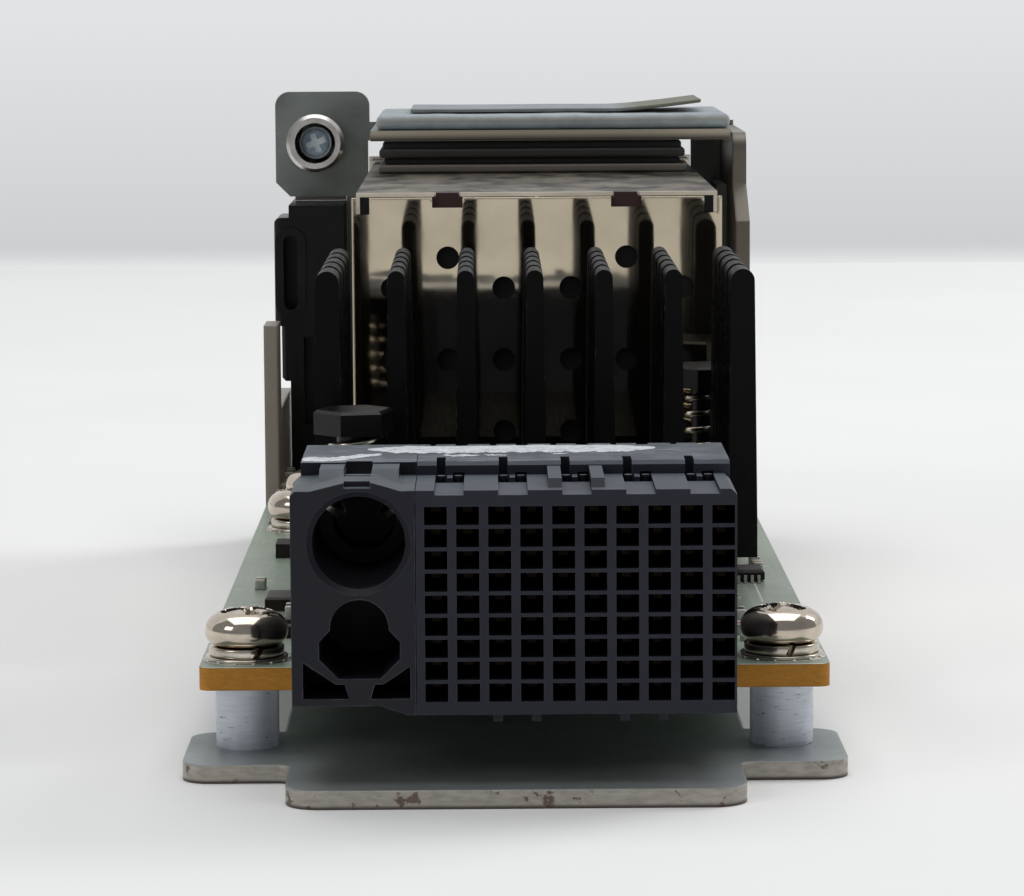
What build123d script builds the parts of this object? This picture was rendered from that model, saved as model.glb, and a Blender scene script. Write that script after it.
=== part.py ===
from build123d import *

import math
import os

# A small pluggable line card. X runs across it, Y from its backplane connector
# to its faceplate and Z up. The origin is on the underside of the carrier sheet,
# on the centre plane, in line with the connector's mating face. Sizes are in mm.

# Carrier sheet
sheet = 1.2
bend_radius = 0.6
tongue_width = 29.15
tongue_front = -1.5
tongue_corner = 2.2
tongue_inner_corner = 0.8
ear_width = 43.3
ear_front = 7.0
ear_back = 18.5
ear_corner = 1.8
neck_width = 31.0
tray_width = 42.1
wall_start = 98.0
wall_height = 38.05
wall_set_back = 4.8
shoulder_low = 30.6
shoulder_high = 33.6
floor_lead = 3.0
low_wall_height = 21.8
low_wall_step = 14.0
low_wall_length = 5.0
wall_corner = 1.5

# Board and what fixes it
board_width = 41.3
board_near = 10.3
board_far = 118.0
board_thick = 1.5
board_corner = 0.8
board_wall_gap = 0.5
standoff_height = 4.3
standoff_radius = 2.1
spigot_radius = 1.7
lobe_margin = 0.5
standoff_near_x = 17.7
standoff_near_y = 14.0
standoff_right_x = 16.0
standoff_right_y = 64.4
standoff_left_x = -16.9
standoff_left_y = 76.5
standoff_front_x = -16.1
standoff_front_y = 90.0
screw_radius = 1.45
screw_fit = 0.05
head_radius = 2.75
head_height = 2.45
head_round = 1.15
head_under_round = 0.75
screw_reach = 5.0
washer_radius = 2.75
washer_thick = 0.3
lock_radius = 2.5
lock_thick = 0.65
lock_gap = 0.45

# Backplane connector
column_pitch = 2.0
column_count = 10
first_column = -4.95
row_pitch = 1.4
row_count = 9
top_row = 18.3
hole_width = 1.43
hole_height = 1.17
housing_left = -6.2
housing_right = 13.9
housing_bottom = 5.7
connector_top = 19.9
housing_depth = 8.0
organiser_rise = 0.85
organiser_depth = 9.6
organiser_roof = 1.4
organiser_back_wall = 0.9
wafer_thick = 1.6
piece_gap = 0.05
contact_width = 0.6
contact_thick = 0.3
contact_set_back = 3.0
recess_pitch = 4.0
recess_count = 5
first_recess = -4.1
recess_width = 1.85
recess_deep = 0.3
rib_width = 0.84
rib_height = 0.55
foot_width = 0.6
foot_drop = 0.55
foot_length = 5.0
guide_left = -14.05
guide_bottom = 6.3
guide_axis_x = -9.78
guide_axis_z = 16.6
guide_radius = 2.93
guide_depth = 12.0
guide_mouth = 0.35
guide_inner_radius = 2.1
guide_inner_depth = 3.5
key_radius = 1.85
key_round_z = 11.2
key_width = 5.08
key_low = 8.03
key_wide_z = 9.96
key_depth = 11.0
arch_rise = 0.53
arch_notch = 0.35
pocket_left = 0.7
pocket_right = 0.35
pocket_floor = 0.45
pocket_roof = 0.35
pocket_web_low = 0.68
pocket_web_high = 0.95
pocket_deep = 6.0

# Heat sink and the chip under it
sink_x = 1.7
sink_near = 32.0
sink_length = 24.0
sink_base_low = 10.9
sink_base_thick = 2.6
sink_top = 31.3
fin_pitch = 4.86
fin_count = 7
fin_thick = 1.2
edge_fin_thick = 1.65
fin_draft = 0.2
cut_count = 4
cut_width = 1.4
chip_size = 24.0
chip_thick = 1.6
lid_size = 19.0
lid_thick = 1.5

# Sprung push pins of the heat sink
pin_near_x = -10.95
pin_near_y = 28.7
pin_far_x = 15.2
pin_far_y = 59.05
pin_ear_radius = 3.2
pin_radius = 1.2
pin_fit = 0.1
pin_head_corner = 2.85
pin_head_turn = 13.0
pin_head_height = 1.7
pin_head_low = 20.3
pin_travel = 1.6
barb_radius = 1.75
barb_gap = 0.2
barb_floor_gap = 0.4
pin_spring_radius = 1.85
pin_wire = 0.24
pin_spring_turns = 5

# Port cage
cage_x = 2.3
cage_width = 28.5
cage_height = 27.8
cage_near = 68.0
cage_far = 124.0
cage_wall = 0.3
port_height = 10.0
vent_radius = 0.9
vent_spread = 4.4
vent_drops = (5.1, 7.5, 13.2, 18.9)
flap_length = 2.4
corner_notch_width = 1.05
corner_notch_height = 1.3
peg_width = 1.8
peg_length = 1.1
peg_gap = 0.15
peg_notch_width = 2.4
peg_notch_depth = 0.8
block_depth = 18.0
nose_depth = 5.0
nose_width = 11.4
nose_height = 5.4
card_slot = 1.4
pipe_radius = 1.05
pipe_spread = 3.5
pipe_web = 0.8
collar_length = 5.7
collar_gap = 0.05
collar_wall = 0.2
collar_ridge = 0.25
finger_pitch = 2.4
finger_slit = 0.5
gasket_width = 26.6
gasket_length = 17.0
gasket_near = 100.0

# Faceplate
plate_thick = 0.9
plate_back = 121.6
plate_top = 38.5
flange_near = 100.0
flange_step = 0.7
flange_wall_gap = 0.35
cut_clear = 0.6
cut_top = 36.8
lever_notch_top = 31.4
tab_width = 8.65
tab_low = 31.7
tab_top = 41.3
tab_corner = 1.3
foot_flange = 10.0
side_flange_low = 10.0
side_flange_high = 33.0
rivet_radius = 1.2
rivet_fit = 0.01
rivet_stand = 0.4
top_gasket_thick = 1.3
top_gasket_inset = 0.5
strip_left = -8.3
strip_right = 17.2
strip_width = 12.0
strip_thick = 0.35
strip_peel = 6.5
strip_lift = 0.75

# Captive screw in the tab
captive_inset = 3.75
captive_z = 36.7
ferrule_radius = 2.65
ferrule_bore = 1.85
ferrule_back = 3.0
ferrule_front = 4.2
ferrule_flange = 3.1
ferrule_flange_thick = 1.0
captive_radius = 1.45
captive_tip_y = 119.6
captive_travel = 3.0
knob_radius = 3.6
knob_wall = 0.7
knob_roof = 1.6
knob_mouth_gap = 0.5
knob_teeth = 24
captive_spring_radius = 2.3
captive_wire = 0.2
captive_spring_turns = 4
captive_spring_length = 5.2
retainer_radius = 2.6
retainer_thick = 0.4

# Ejector lever
lever_pivot_y = 117.5
lever_pivot_z = 6.0
lever_pin_radius = 1.0
lever_pin_fit = 0.05
lever_thick = 4.95
lever_side_gap = 0.3
lever_top = 31.3
lever_wide_z = 20.4
lever_mid_z = 15.4
lever_mid_inset = 0.75
lever_head_inset = 0.15
lever_head_top = 30.2
lever_head_round = 0.6
lever_hub = 3.0
lever_depth = 7.2
lug_thick = 1.2
lug_radius = 3.0
loop_width = 1.25
loop_low = 21.9
loop_high = 28.6
loop_inset = 0.85
loop_deep = 2.4
loop_rim = 0.75
loop_rim_rise = 0.3
lip_reach = 127.4

# Small parts on the board
block_x = -16.05
block_y = 35.55
block_size = (3.1, 3.7, 1.0)
dark_chip_at = (-17.4, 61.6)
dark_chip_size = (1.6, 3.2, 1.1)
gull_x = 16.6
gull_y = 47.6
gull_body = (4.4, 3.0, 0.75)
gull_leg_pitch = 0.5
gull_leg_count = 8
gull_leg_width = 0.22
gull_leg_thick = 0.12
gull_leg_reach = 0.9

# Worked out from the sizes above
board_low = sheet + standoff_height
board_top = board_low + board_thick
barb_length = standoff_height - barb_gap - pin_travel - barb_floor_gap
wall_inner = tray_width / 2 - sheet
plate_front = plate_back + plate_thick
flange_low = plate_top - plate_thick
flange_right = wall_inner - flange_wall_gap
tab_right = tab_width - tray_width / 2
flange_left = tab_right + flange_step
captive_x = captive_inset - tray_width / 2
organiser_near = housing_depth + piece_gap
organiser_far = organiser_near + organiser_depth
organiser_top = connector_top + organiser_rise
sink_far = sink_near + sink_length
sink_base_top = sink_base_low + sink_base_thick
cage_left = cage_x - cage_width / 2
cage_right = cage_x + cage_width / 2
cage_low = board_top
cage_top = cage_low + cage_height
lever_outer = lever_side_gap - wall_inner
lever_inner = lever_outer + lever_thick
lever_mid_outer = lever_mid_inset - tray_width / 2
lever_head_outer = lever_head_inset - tray_width / 2
lug_inner = lever_inner + lever_side_gap
lug_outer = lug_inner + lug_thick
pillar_spots = [
    (-standoff_near_x, standoff_near_y),
    (standoff_near_x, standoff_near_y),
    (standoff_left_x, standoff_left_y),
    (standoff_right_x, standoff_right_y),
    (standoff_front_x, standoff_front_y),
]
pin_spots = {
    "near": (pin_near_x, pin_near_y),
    "far": (pin_far_x, pin_far_y),
}
port_columns = {
    "left": (cage_left + cage_wall, cage_x - cage_wall / 2),
    "right": (cage_x + cage_wall / 2, cage_right - cage_wall),
}
column_centres = [first_column + column_pitch * i for i in range(column_count)]
row_centres = [top_row - row_pitch * j for j in range(row_count)]
recess_centres = [first_recess + recess_pitch * i for i in range(recess_count)]


def block(x0, x1, y0, y1, z0, z1):
    """A box between two corners."""
    place = Pos((x0 + x1) / 2, (y0 + y1) / 2, (z0 + z1) / 2)
    return place * Box(x1 - x0, y1 - y0, z1 - z0)


def post(radius, x, y, z0, z1):
    """An upright round bar."""
    return Pos(x, y, (z0 + z1) / 2) * Cylinder(radius, z1 - z0)


def bar_y(radius, x, y0, y1, z):
    """A round bar along the card."""
    return Pos(x, (y0 + y1) / 2, z) * Rot(90, 0, 0) * Cylinder(radius, y1 - y0)


def bar_x(radius, x0, x1, y, z):
    """A round bar across the card."""
    return Pos((x0 + x1) / 2, y, z) * Rot(0, 90, 0) * Cylinder(radius, x1 - x0)


def rounded_slab(x0, x1, y0, y1, corner, z0, z1):
    """A flat plate with rounded upright corners."""
    face = Pos((x0 + x1) / 2, (y0 + y1) / 2, z0) * RectangleRounded(x1 - x0, y1 - y0, corner)
    return extrude(face, z1 - z0)


def upright(points, y0, y1):
    """A prism along the card from an outline of (x, z) points."""
    face = make_face(Polyline([(x, y0, z) for x, z in points], close=True))
    return extrude(face, amount=y1 - y0, dir=(0, 1, 0))


def sideways(points, x0, x1):
    """A prism across the card from an outline of (y, z) points."""
    face = make_face(Polyline([(x0, y, z) for y, z in points], close=True))
    return extrude(face, amount=x1 - x0, dir=(1, 0, 0))


def coil(radius, wire, length, turns):
    """An upright coil spring that stands on z = 0."""
    pitch = (length - 2 * wire) / turns
    path = Pos(0, 0, wire) * Helix(pitch, length - 2 * wire, radius - wire)
    start = Plane(path @ 0, z_dir=path % 0)
    return sweep(start * Circle(wire), path)


def cross_recess(depth, reach, width):
    """The cutter of a cross recess, pointing down from z = 0."""
    arms = Box(reach, width, depth) + Box(width, reach, depth)
    cone = Cone(width, reach / 2, depth)
    return Pos(0, 0, -depth / 2) * (arms & cone)


def save(name, *solids):
    """Write one node, which may be a group of separate solids."""
    shape = solids[0] if len(solids) == 1 else Compound(list(solids))
    export_step(shape, f"parts/{name}.step")


def carrier_tray():
    """The folded sheet: tongue, ears, neck, floor, two walls and the lever lug."""
    floor_near = wall_start - floor_lead
    half = tray_width / 2
    section = [(-half, 0), (half, 0), (half, wall_height), (wall_inner, wall_height)]
    section += [(wall_inner, sheet), (-wall_inner, sheet), (-wall_inner, low_wall_height), (-half, low_wall_height)]
    channel = upright(section, wall_start, plate_back)
    channel = fillet(channel.edges().filter_by(Axis.Y).group_by(Axis.Z)[1], bend_radius)
    channel = fillet(channel.edges().filter_by(Axis.Y).group_by(Axis.Z)[0], bend_radius + sheet)
    relief = wall_inner - bend_radius
    channel += block(-relief, relief, floor_near, wall_start + 1, 0, sheet)
    cut_back = [(wall_start - 1, shoulder_low), (wall_start, shoulder_low)]
    cut_back += [(wall_start + wall_set_back, shoulder_high), (wall_start + wall_set_back, wall_height + 1)]
    cut_back += [(wall_start - 1, wall_height + 1)]
    channel -= sideways(cut_back, wall_inner - 1, half + 1)
    step_start = wall_start + low_wall_length
    channel -= block(-half - 1, -wall_inner + 0.1, step_start, plate_back + 1, low_wall_step, low_wall_height + 1)
    rear_corner = channel.edges().filter_by(Axis.X).group_by(Axis.Z)[-1].sort_by(Axis.Y)[0]
    channel = fillet(rear_corner, wall_corner)
    notch_near = lever_pivot_y - lever_hub - 7.5
    channel -= block(-wall_inner, lug_inner, notch_near, plate_back + 1, -1, sheet + 1)

    tongue = rounded_slab(-tongue_width / 2, tongue_width / 2, tongue_front, ear_back, tongue_corner, 0, sheet)
    ears = rounded_slab(-ear_width / 2, ear_width / 2, ear_front, ear_back, ear_corner, 0, sheet)
    front = tongue + ears
    for side in (-1, 1):
        spot = (side * tongue_width / 2, ear_front, sheet / 2)
        inner_corner = front.edges().filter_by(Axis.Z).sort_by_distance(spot)[0]
        front = fillet(inner_corner, tongue_inner_corner)
    neck = block(-neck_width / 2, neck_width / 2, ear_back - 4, floor_near + 2, 0, sheet)
    for x, y in pillar_spots[2:]:
        reach = math.copysign(abs(x) + standoff_radius + lobe_margin, x)
        lo, hi = sorted((reach, math.copysign(neck_width / 2 - 4, x)))
        half_lobe = standoff_radius + 2 * lobe_margin
        neck += rounded_slab(lo, hi, y - half_lobe, y + half_lobe, ear_corner, 0, sheet)
    lug = block(lug_inner, lug_outer, lever_pivot_y - lug_radius, lever_pivot_y + lug_radius, 0, lever_pivot_z)
    lug += bar_x(lug_radius, lug_inner, lug_outer, lever_pivot_y, lever_pivot_z)
    tray = channel + front + neck + lug
    for x, y in pillar_spots:
        tray -= post(spigot_radius, x, y, -1, sheet + 1)
    tray -= bar_x(lever_pin_radius + 0.02, -half - 1, lug_outer + 1, lever_pivot_y, lever_pivot_z)
    for x, y in foot_rivet_spots():
        tray -= post(rivet_radius, x, y, -1, sheet + 1)
    for y, z in side_rivet_spots():
        tray -= bar_x(rivet_radius, wall_inner - 1, half + 1, y, z)
    save("carrier_tray", tray)


def foot_rivet_spots():
    """Centres of the rivets through the faceplate's foot flange."""
    y = plate_back - foot_flange / 2
    return [(x, y) for x in (cage_left + 3, cage_x, cage_right - 1)]


def side_rivet_spots():
    """Centres (y, z) of the rivets through the faceplate's side flange."""
    y = plate_back - foot_flange / 2
    return [(y, side_flange_low + 4), (y, side_flange_high - 4)]


def standoffs():
    """Round standoffs with a spigot swaged into the tray and a threaded bore."""
    pieces = []
    for x, y in pillar_spots:
        pillar = post(standoff_radius, x, y, sheet, board_low) + post(spigot_radius, x, y, 0, sheet)
        pieces.append(pillar - post(screw_radius + screw_fit, x, y, -1, board_low + 1))
    save("standoffs", *pieces)


def circuit_board():
    """The board, narrower between the tray's walls and cut away at the lever."""
    half = board_width / 2
    slim = wall_inner - board_wall_gap
    neck_y = wall_start - board_wall_gap
    lever_y = lever_pivot_y - lever_hub - 10.5
    board = rounded_slab(-half, half, board_near, neck_y, board_corner, board_low, board_top)
    board += block(-slim, slim, neck_y - 2, lever_y, board_low, board_top)
    board += block(lug_outer + 0.3, slim, lever_y - 1, board_far, board_low, board_top)
    for x, y in pillar_spots:
        board -= post(screw_radius + 0.15, x, y, board_low - 1, board_top + 1)
    for x, y in pin_spots.values():
        board -= post(pin_radius + 0.3, x, y, board_low - 1, board_top + 1)
    save("circuit_board", board)


def board_screws():
    """Pan-head screws with a cross recess, with the washers under them."""
    screws, locks, flats = [], [], []
    head_low = board_top + washer_thick + lock_thick
    for turn, (x, y) in enumerate(pillar_spots):
        head = post(head_radius, 0, 0, 0, head_height)
        rims = head.edges().filter_by(GeomType.CIRCLE).sort_by(Axis.Z)
        head = fillet(rims[-1], head_round)
        head = fillet(head.edges().filter_by(GeomType.CIRCLE).sort_by(Axis.Z)[0], head_under_round)
        recess = Pos(0, 0, head_height) * Rot(0, 0, 20 + 35 * turn) * cross_recess(1.4, 3.2, 0.8)
        shank = post(screw_radius, 0, 0, -screw_reach, 0.1)
        screws.append(Pos(x, y, head_low) * (head - recess + shank))
        ring = post(lock_radius, x, y, board_top + washer_thick, head_low)
        ring -= post(screw_radius + 0.1, x, y, board_top, head_low + 1)
        slit = Pos(x, y, head_low) * Rot(0, 0, -70 - 10 * turn) * Pos(lock_radius, 0, 0) * Rot(28, 0, 0)
        locks.append(ring - slit * Box(lock_radius, lock_gap, 4 * lock_thick))
        flat = post(washer_radius, x, y, board_top, board_top + washer_thick)
        flats.append(flat - post(screw_radius + 0.1, x, y, board_top - 1, head_low))
    save("board_screws", *screws)
    save("lock_washers", *locks)
    save("flat_washers", *flats)


def signal_housing():
    """The front housing: a grid of contact holes, keying ribs, recesses and feet."""
    low = housing_bottom
    body = block(housing_left, housing_right, 0, housing_depth, low, connector_top)
    grid = Sketch() + [
        Plane.XZ * Pos(x, z) * Rectangle(hole_width, hole_height)
        for x in column_centres for z in row_centres
    ]
    body -= extrude(grid, amount=housing_depth + 1, dir=(0, 1, 0))
    body -= block(housing_left - 1, housing_right + 1, board_near - 0.3, housing_depth + 9, 0, board_top)
    for x in recess_centres:
        x0, x1 = x - recess_width / 2, x + recess_width / 2
        body -= block(x0, x1, -1, housing_depth - 1.6, connector_top - recess_deep, connector_top + 1)
        body -= block(x0, x0 + 0.75, housing_depth - 1.7, housing_depth + 1, connector_top - 0.75, connector_top + 1)
        body -= block(x1 - 0.75, x1, housing_depth - 1.7, housing_depth + 1, connector_top - 0.6, connector_top + 1)
    middle = recess_centres[recess_count // 2]
    for side in (-1, 1):
        x = middle + side * (recess_width / 2 + rib_width / 2)
        top = connector_top + rib_height
        outline = [(0.4, connector_top - 0.9), (housing_depth, connector_top - 0.9), (housing_depth, top), (1.6, top)]
        body += sideways(outline, x - rib_width / 2, x + rib_width / 2)
    right_edge = body.edges().filter_by(Axis.Y).group_by(Axis.X)[-1].sort_by(Axis.Z)[-1]
    body = chamfer(right_edge, 0.35)
    for pair in (recess_centres[1], recess_centres[3]):
        for side in (-1.0, 1.4):
            x = pair + side
            body += block(x - foot_width / 2, x + foot_width / 2, 0.6, foot_length, low - foot_drop, low + 0.2)
    save("signal_housing", body)


def wafer_organiser():
    """The comb behind the housing: a roof with slots and a castellated back wall."""
    y0, y1 = organiser_near, organiser_far
    z0 = organiser_top - organiser_roof
    body = block(housing_left, housing_right, y0, y1, z0, organiser_top)
    body += block(housing_left, housing_right, y1 - organiser_back_wall, y1, board_top, organiser_top)
    front_edge = body.edges().filter_by(Axis.X).group_by(Axis.Z)[-1].sort_by(Axis.Y)[0]
    body = chamfer(front_edge, 0.25)
    for x in recess_centres:
        slot = x - recess_width / 2 + 0.35
        body -= block(slot - 0.29, slot + 0.29, y0 - 1, y0 + 2.4, z0 - 1, organiser_top + 1)
        body -= block(x + 0.2, x + 0.95, y0 - 1, y0 + 1.2, z0 - 1, organiser_top - 0.7)
        body -= block(x + 0.3, x + 1.1, y1 - 0.7, y1 + 1, organiser_top - 0.6, organiser_top + 1)
        body -= block(x - 1.4, x - 1.0, y1 - 0.7, y1 + 1, organiser_top - 0.6, organiser_top + 1)
    save("wafer_organiser", body)


def wafers():
    """One thin moulded wafer behind each column of holes, and their contacts."""
    y0 = organiser_near
    y1 = organiser_far - organiser_back_wall - piece_gap
    z1 = organiser_top - organiser_roof - piece_gap
    contacts = []
    for number, x in enumerate(column_centres, start=1):
        outline = [(y0, board_top), (y1, board_top), (y1, z1 - 3), (y1 - 3, z1), (y0, z1)]
        wafer = sideways(outline, x - wafer_thick / 2, x + wafer_thick / 2)
        save(f"wafer_{number}", wafer)
        for z in row_centres:
            w, t = contact_width / 2, contact_thick / 2
            contacts.append(block(x - w, x + w, contact_set_back, y0, z - t, z + t))
    save("contacts", *contacts)
    pins = []
    for x in recess_centres:
        for side in (-1, 1):
            px = x + side * (recess_width / 2 - 0.375)
            pins.append(post(0.26, px, housing_depth - 0.75, connector_top - 0.6, connector_top + 0.05))
    save("wafer_pins", *pins)


def guide_block():
    """The guide module: round socket with an arched brow, keyed socket and shoulders."""
    x0, x1 = guide_left, housing_left - piece_gap
    ax, az = guide_axis_x, guide_axis_z
    back = organiser_far
    body = block(x0, x1, 0, housing_depth, guide_bottom, connector_top)
    body += block(x0 + 0.35, x1, housing_depth, back, board_top, organiser_top)
    brow = [(ax - 3.0, connector_top), (ax - 0.85, connector_top + arch_rise)]
    brow += [(ax + 0.85, connector_top + arch_rise), (ax + 2.6, connector_top)]
    body += upright(brow, 0, housing_depth)
    body -= block(ax - 0.9, ax + 0.75, -1, 0.8, connector_top + arch_rise - arch_notch, connector_top + 1)
    ramp = [(ax + pocket_web_high, guide_bottom + 0.1), (x1, guide_bottom + 0.1)]
    ramp += [(x1, housing_bottom), (x1 - 0.5, housing_bottom)]
    body += upright(ramp, 0, housing_depth)
    for near_x, far_x in ((ax - 2.6, ax - 1.05), (ax + 0.75, ax + 2.45)):
        top = organiser_top - 0.1
        rise = [(3.6, connector_top - 0.2), (5.2, top), (housing_depth, top), (housing_depth, connector_top - 0.2)]
        body += sideways(rise, near_x, far_x)
    body -= block(ax - 1.0, ax + 0.7, 3.4, housing_depth + 0.6, connector_top - 0.6, organiser_top + 1)
    body += block(ax - 1.0, ax + 0.7, 5.6, 6.3, connector_top - 0.6, connector_top + 0.3)
    body -= bar_y(guide_radius, ax, -1, guide_depth, az)
    mouth = Cone(guide_radius + guide_mouth, guide_radius, guide_mouth)
    body -= Pos(ax, guide_mouth / 2, az) * Rot(-90, 0, 0) * mouth
    body -= bar_y(guide_inner_radius, ax, guide_depth - 0.1, guide_depth + guide_inner_depth, az)
    body -= keyed_cutter()
    low, roof = guide_bottom + pocket_floor, key_low - pocket_roof
    for side, edge in ((-1, x0 + pocket_left), (1, x1 - pocket_right)):
        slope_end = ax + side * (pocket_web_high + 0.55)
        edge_top = roof + 0.68 * abs(edge - slope_end)
        pocket = [(edge, low), (ax + side * pocket_web_low, low), (ax + side * pocket_web_high, roof)]
        pocket += [(slope_end, roof), (edge, edge_top)]
        body -= upright(pocket, -1, pocket_deep)
    corner = body.edges().filter_by(Axis.Y).group_by(Axis.X)[0].sort_by(Axis.Z)[-1]
    body = chamfer(corner, 0.3)
    save("guide_block", body)


def keyed_cutter():
    """The lower socket: a round upper lobe that runs into an eight-sided lower one."""
    ax = guide_axis_x
    half = key_width / 2
    bevel = key_wide_z - key_low - 0.7
    outline = [
        (ax - half + bevel, key_low), (ax + half - bevel, key_low),
        (ax + half, key_wide_z - 0.7), (ax + half, key_wide_z + 0.4),
        (ax + key_radius * 0.8, key_round_z + 0.3), (ax - key_radius * 0.8, key_round_z + 0.3),
        (ax - half, key_wide_z + 0.4), (ax - half, key_wide_z - 0.7),
    ]
    return upright(outline, -1, key_depth) + bar_y(key_radius, ax, -1, key_depth, key_round_z)


def heat_sink():
    """Cross-cut fins with round tops on a base that has two diagonal pin ears."""
    span = fin_pitch * (fin_count - 1)
    fins = Sketch()
    for i in range(fin_count):
        x = sink_x - span / 2 + fin_pitch * i
        thick = edge_fin_thick if i in (0, fin_count - 1) else fin_thick
        tip = thick / 2
        root = tip + fin_draft
        z0, z1 = sink_base_top - 0.2, sink_top - tip
        side = [(x - root, z0), (x + root, z0), (x + tip, z1), (x - tip, z1)]
        fins += make_face(Polyline([(px, sink_near, pz) for px, pz in side], close=True))
        fins += Plane.XZ.offset(-sink_near) * Pos(x, z1) * Circle(tip)
    fins = extrude(fins, amount=sink_length, dir=(0, 1, 0))
    pitch = sink_length / (cut_count + 1)
    half = span / 2 + edge_fin_thick / 2 + fin_draft
    for k in range(1, cut_count + 1):
        y = sink_near + pitch * k
        fins -= block(sink_x - half - 1, sink_x + half + 1, y - cut_width / 2, y + cut_width / 2, sink_base_top, sink_top + 1)
    base = block(sink_x - half, sink_x + half, sink_near, sink_far, sink_base_low, sink_base_top)
    for (x, y), edge in zip(pin_spots.values(), (sink_near, sink_far)):
        ear = post(pin_ear_radius, x, y, sink_base_low, sink_base_top)
        lo, hi = sorted((y, edge + math.copysign(1.0, edge - y)))
        ear += block(x - pin_ear_radius, x + pin_ear_radius, lo, hi, sink_base_low, sink_base_top)
        base += ear
    sink = fins + base
    for x, y in pin_spots.values():
        sink -= post(pin_radius + pin_fit, x, y, sink_base_low - 1, sink_base_top + 1)
    save("heat_sink", sink)


def chip_stack():
    """The switch chip, its metal lid and the pad that fills the gap to the sink."""
    y = sink_near + sink_length / 2
    z = board_top
    half = chip_size / 2
    save("chip_body", rounded_slab(sink_x - half, sink_x + half, y - half, y + half, 0.6, z, z + chip_thick))
    z += chip_thick
    half = lid_size / 2
    lid = rounded_slab(sink_x - half, sink_x + half, y - half, y + half, 1.0, z, z + lid_thick)
    top_edges = lid.edges().group_by(Axis.Z)[-1]
    save("chip_lid", chamfer(top_edges, 0.3))
    z += lid_thick
    half -= 1.5
    save("thermal_pad", block(sink_x - half, sink_x + half, y - half, y + half, z, sink_base_low))


def push_pins():
    """Hexagon-headed push pins with a barbed tip, and the springs under their heads."""
    for name, (x, y) in pin_spots.items():
        head_face = Pos(0, 0, pin_head_low) * Rot(0, 0, pin_head_turn) * RegularPolygon(pin_head_corner, 6)
        pin = extrude(head_face, pin_head_height)
        pin = chamfer(pin.edges().group_by(Axis.Z)[-1], 0.2)
        barb_top = board_low - barb_gap
        pin += post(pin_radius, 0, 0, barb_top - barb_length, pin_head_low + 0.1)
        pin += Pos(0, 0, barb_top - barb_length / 2) * Cone(pin_radius * 0.6, barb_radius, barb_length)
        save(f"push_pin_{name}", Pos(x, y, 0) * pin)
        length = pin_head_low - sink_base_top - 2 * piece_gap
        spring = Pos(x, y, sink_base_top + piece_gap) * coil(pin_spring_radius, pin_wire, length, pin_spring_turns)
        save(f"pin_spring_{name}", spring)


def cage_shell():
    """The folded roof and sides of the cage, with room in the roof for two pegs."""
    inner_near = cage_near + cage_wall + piece_gap
    shell = block(cage_left, cage_right, inner_near, cage_far, cage_low, cage_top)
    shell -= block(
        cage_left + cage_wall, cage_right - cage_wall, inner_near - 1, cage_far + 1, cage_low - 1, cage_top - cage_wall
    )
    half = peg_width / 2 + peg_gap
    peg_far = inner_near + piece_gap + peg_length
    for low, high in port_columns.values():
        x = (low + high) / 2
        shell -= block(x - half, x + half, inner_near - 1, peg_far + peg_gap, cage_top - 1, cage_top + 1)
    save("cage_shell", shell)
    floor = block(
        cage_left + cage_wall + 0.02, cage_right - cage_wall - 0.02, inner_near, cage_far, cage_low, cage_low + cage_wall
    )
    save("cage_floor", floor)
    low = cage_low + cage_wall
    divider = block(
        cage_x - cage_wall / 2, cage_x + cage_wall / 2, inner_near + 0.5, cage_far - 0.4, low, cage_top - cage_wall
    )
    save("cage_divider", divider)


def cage_rear_cover():
    """The vented rear cover with side flaps that lap the cage's sides."""
    gap = piece_gap
    left, right = cage_left - gap - cage_wall, cage_right + gap + cage_wall
    top = cage_top - cage_wall - gap
    far = cage_near + flap_length
    cover = block(left, right, cage_near, cage_near + cage_wall, cage_low + 0.1, top)
    cover += block(left, left + cage_wall, cage_near, far, cage_low + 0.1, top)
    cover += block(right - cage_wall, right, cage_near, far, cage_low + 0.1, top)
    for low, high in port_columns.values():
        x = (low + high) / 2
        for row, offsets in vent_rows().items():
            for offset in offsets:
                cover -= bar_y(vent_radius, x + offset, cage_near - 1, cage_near + 1, row)
        half = peg_notch_width / 2
        cover -= block(x - half, x + half, cage_near - 1, cage_near + 1, top - peg_notch_depth, top + 1)
    low = top - corner_notch_height
    for x0, x1 in ((cage_left, cage_left + corner_notch_width), (cage_right - corner_notch_width, cage_right)):
        cover -= block(x0, x1, cage_near - 1, cage_near + cage_wall, low, top + 1)
    save("cage_rear_cover", cover)


def vent_rows():
    """Heights of the vent rows and the holes' offsets from a column's middle."""
    pair = (-vent_spread, vent_spread)
    offsets = ((0.0,), pair, (-vent_spread, 0.0, vent_spread), pair)
    return {cage_top - drop: row for drop, row in zip(vent_drops, offsets)}


def port_levels():
    """The heights of the lower and of the upper port's floor."""
    return cage_low + cage_wall, cage_top - cage_wall - port_height


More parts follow.
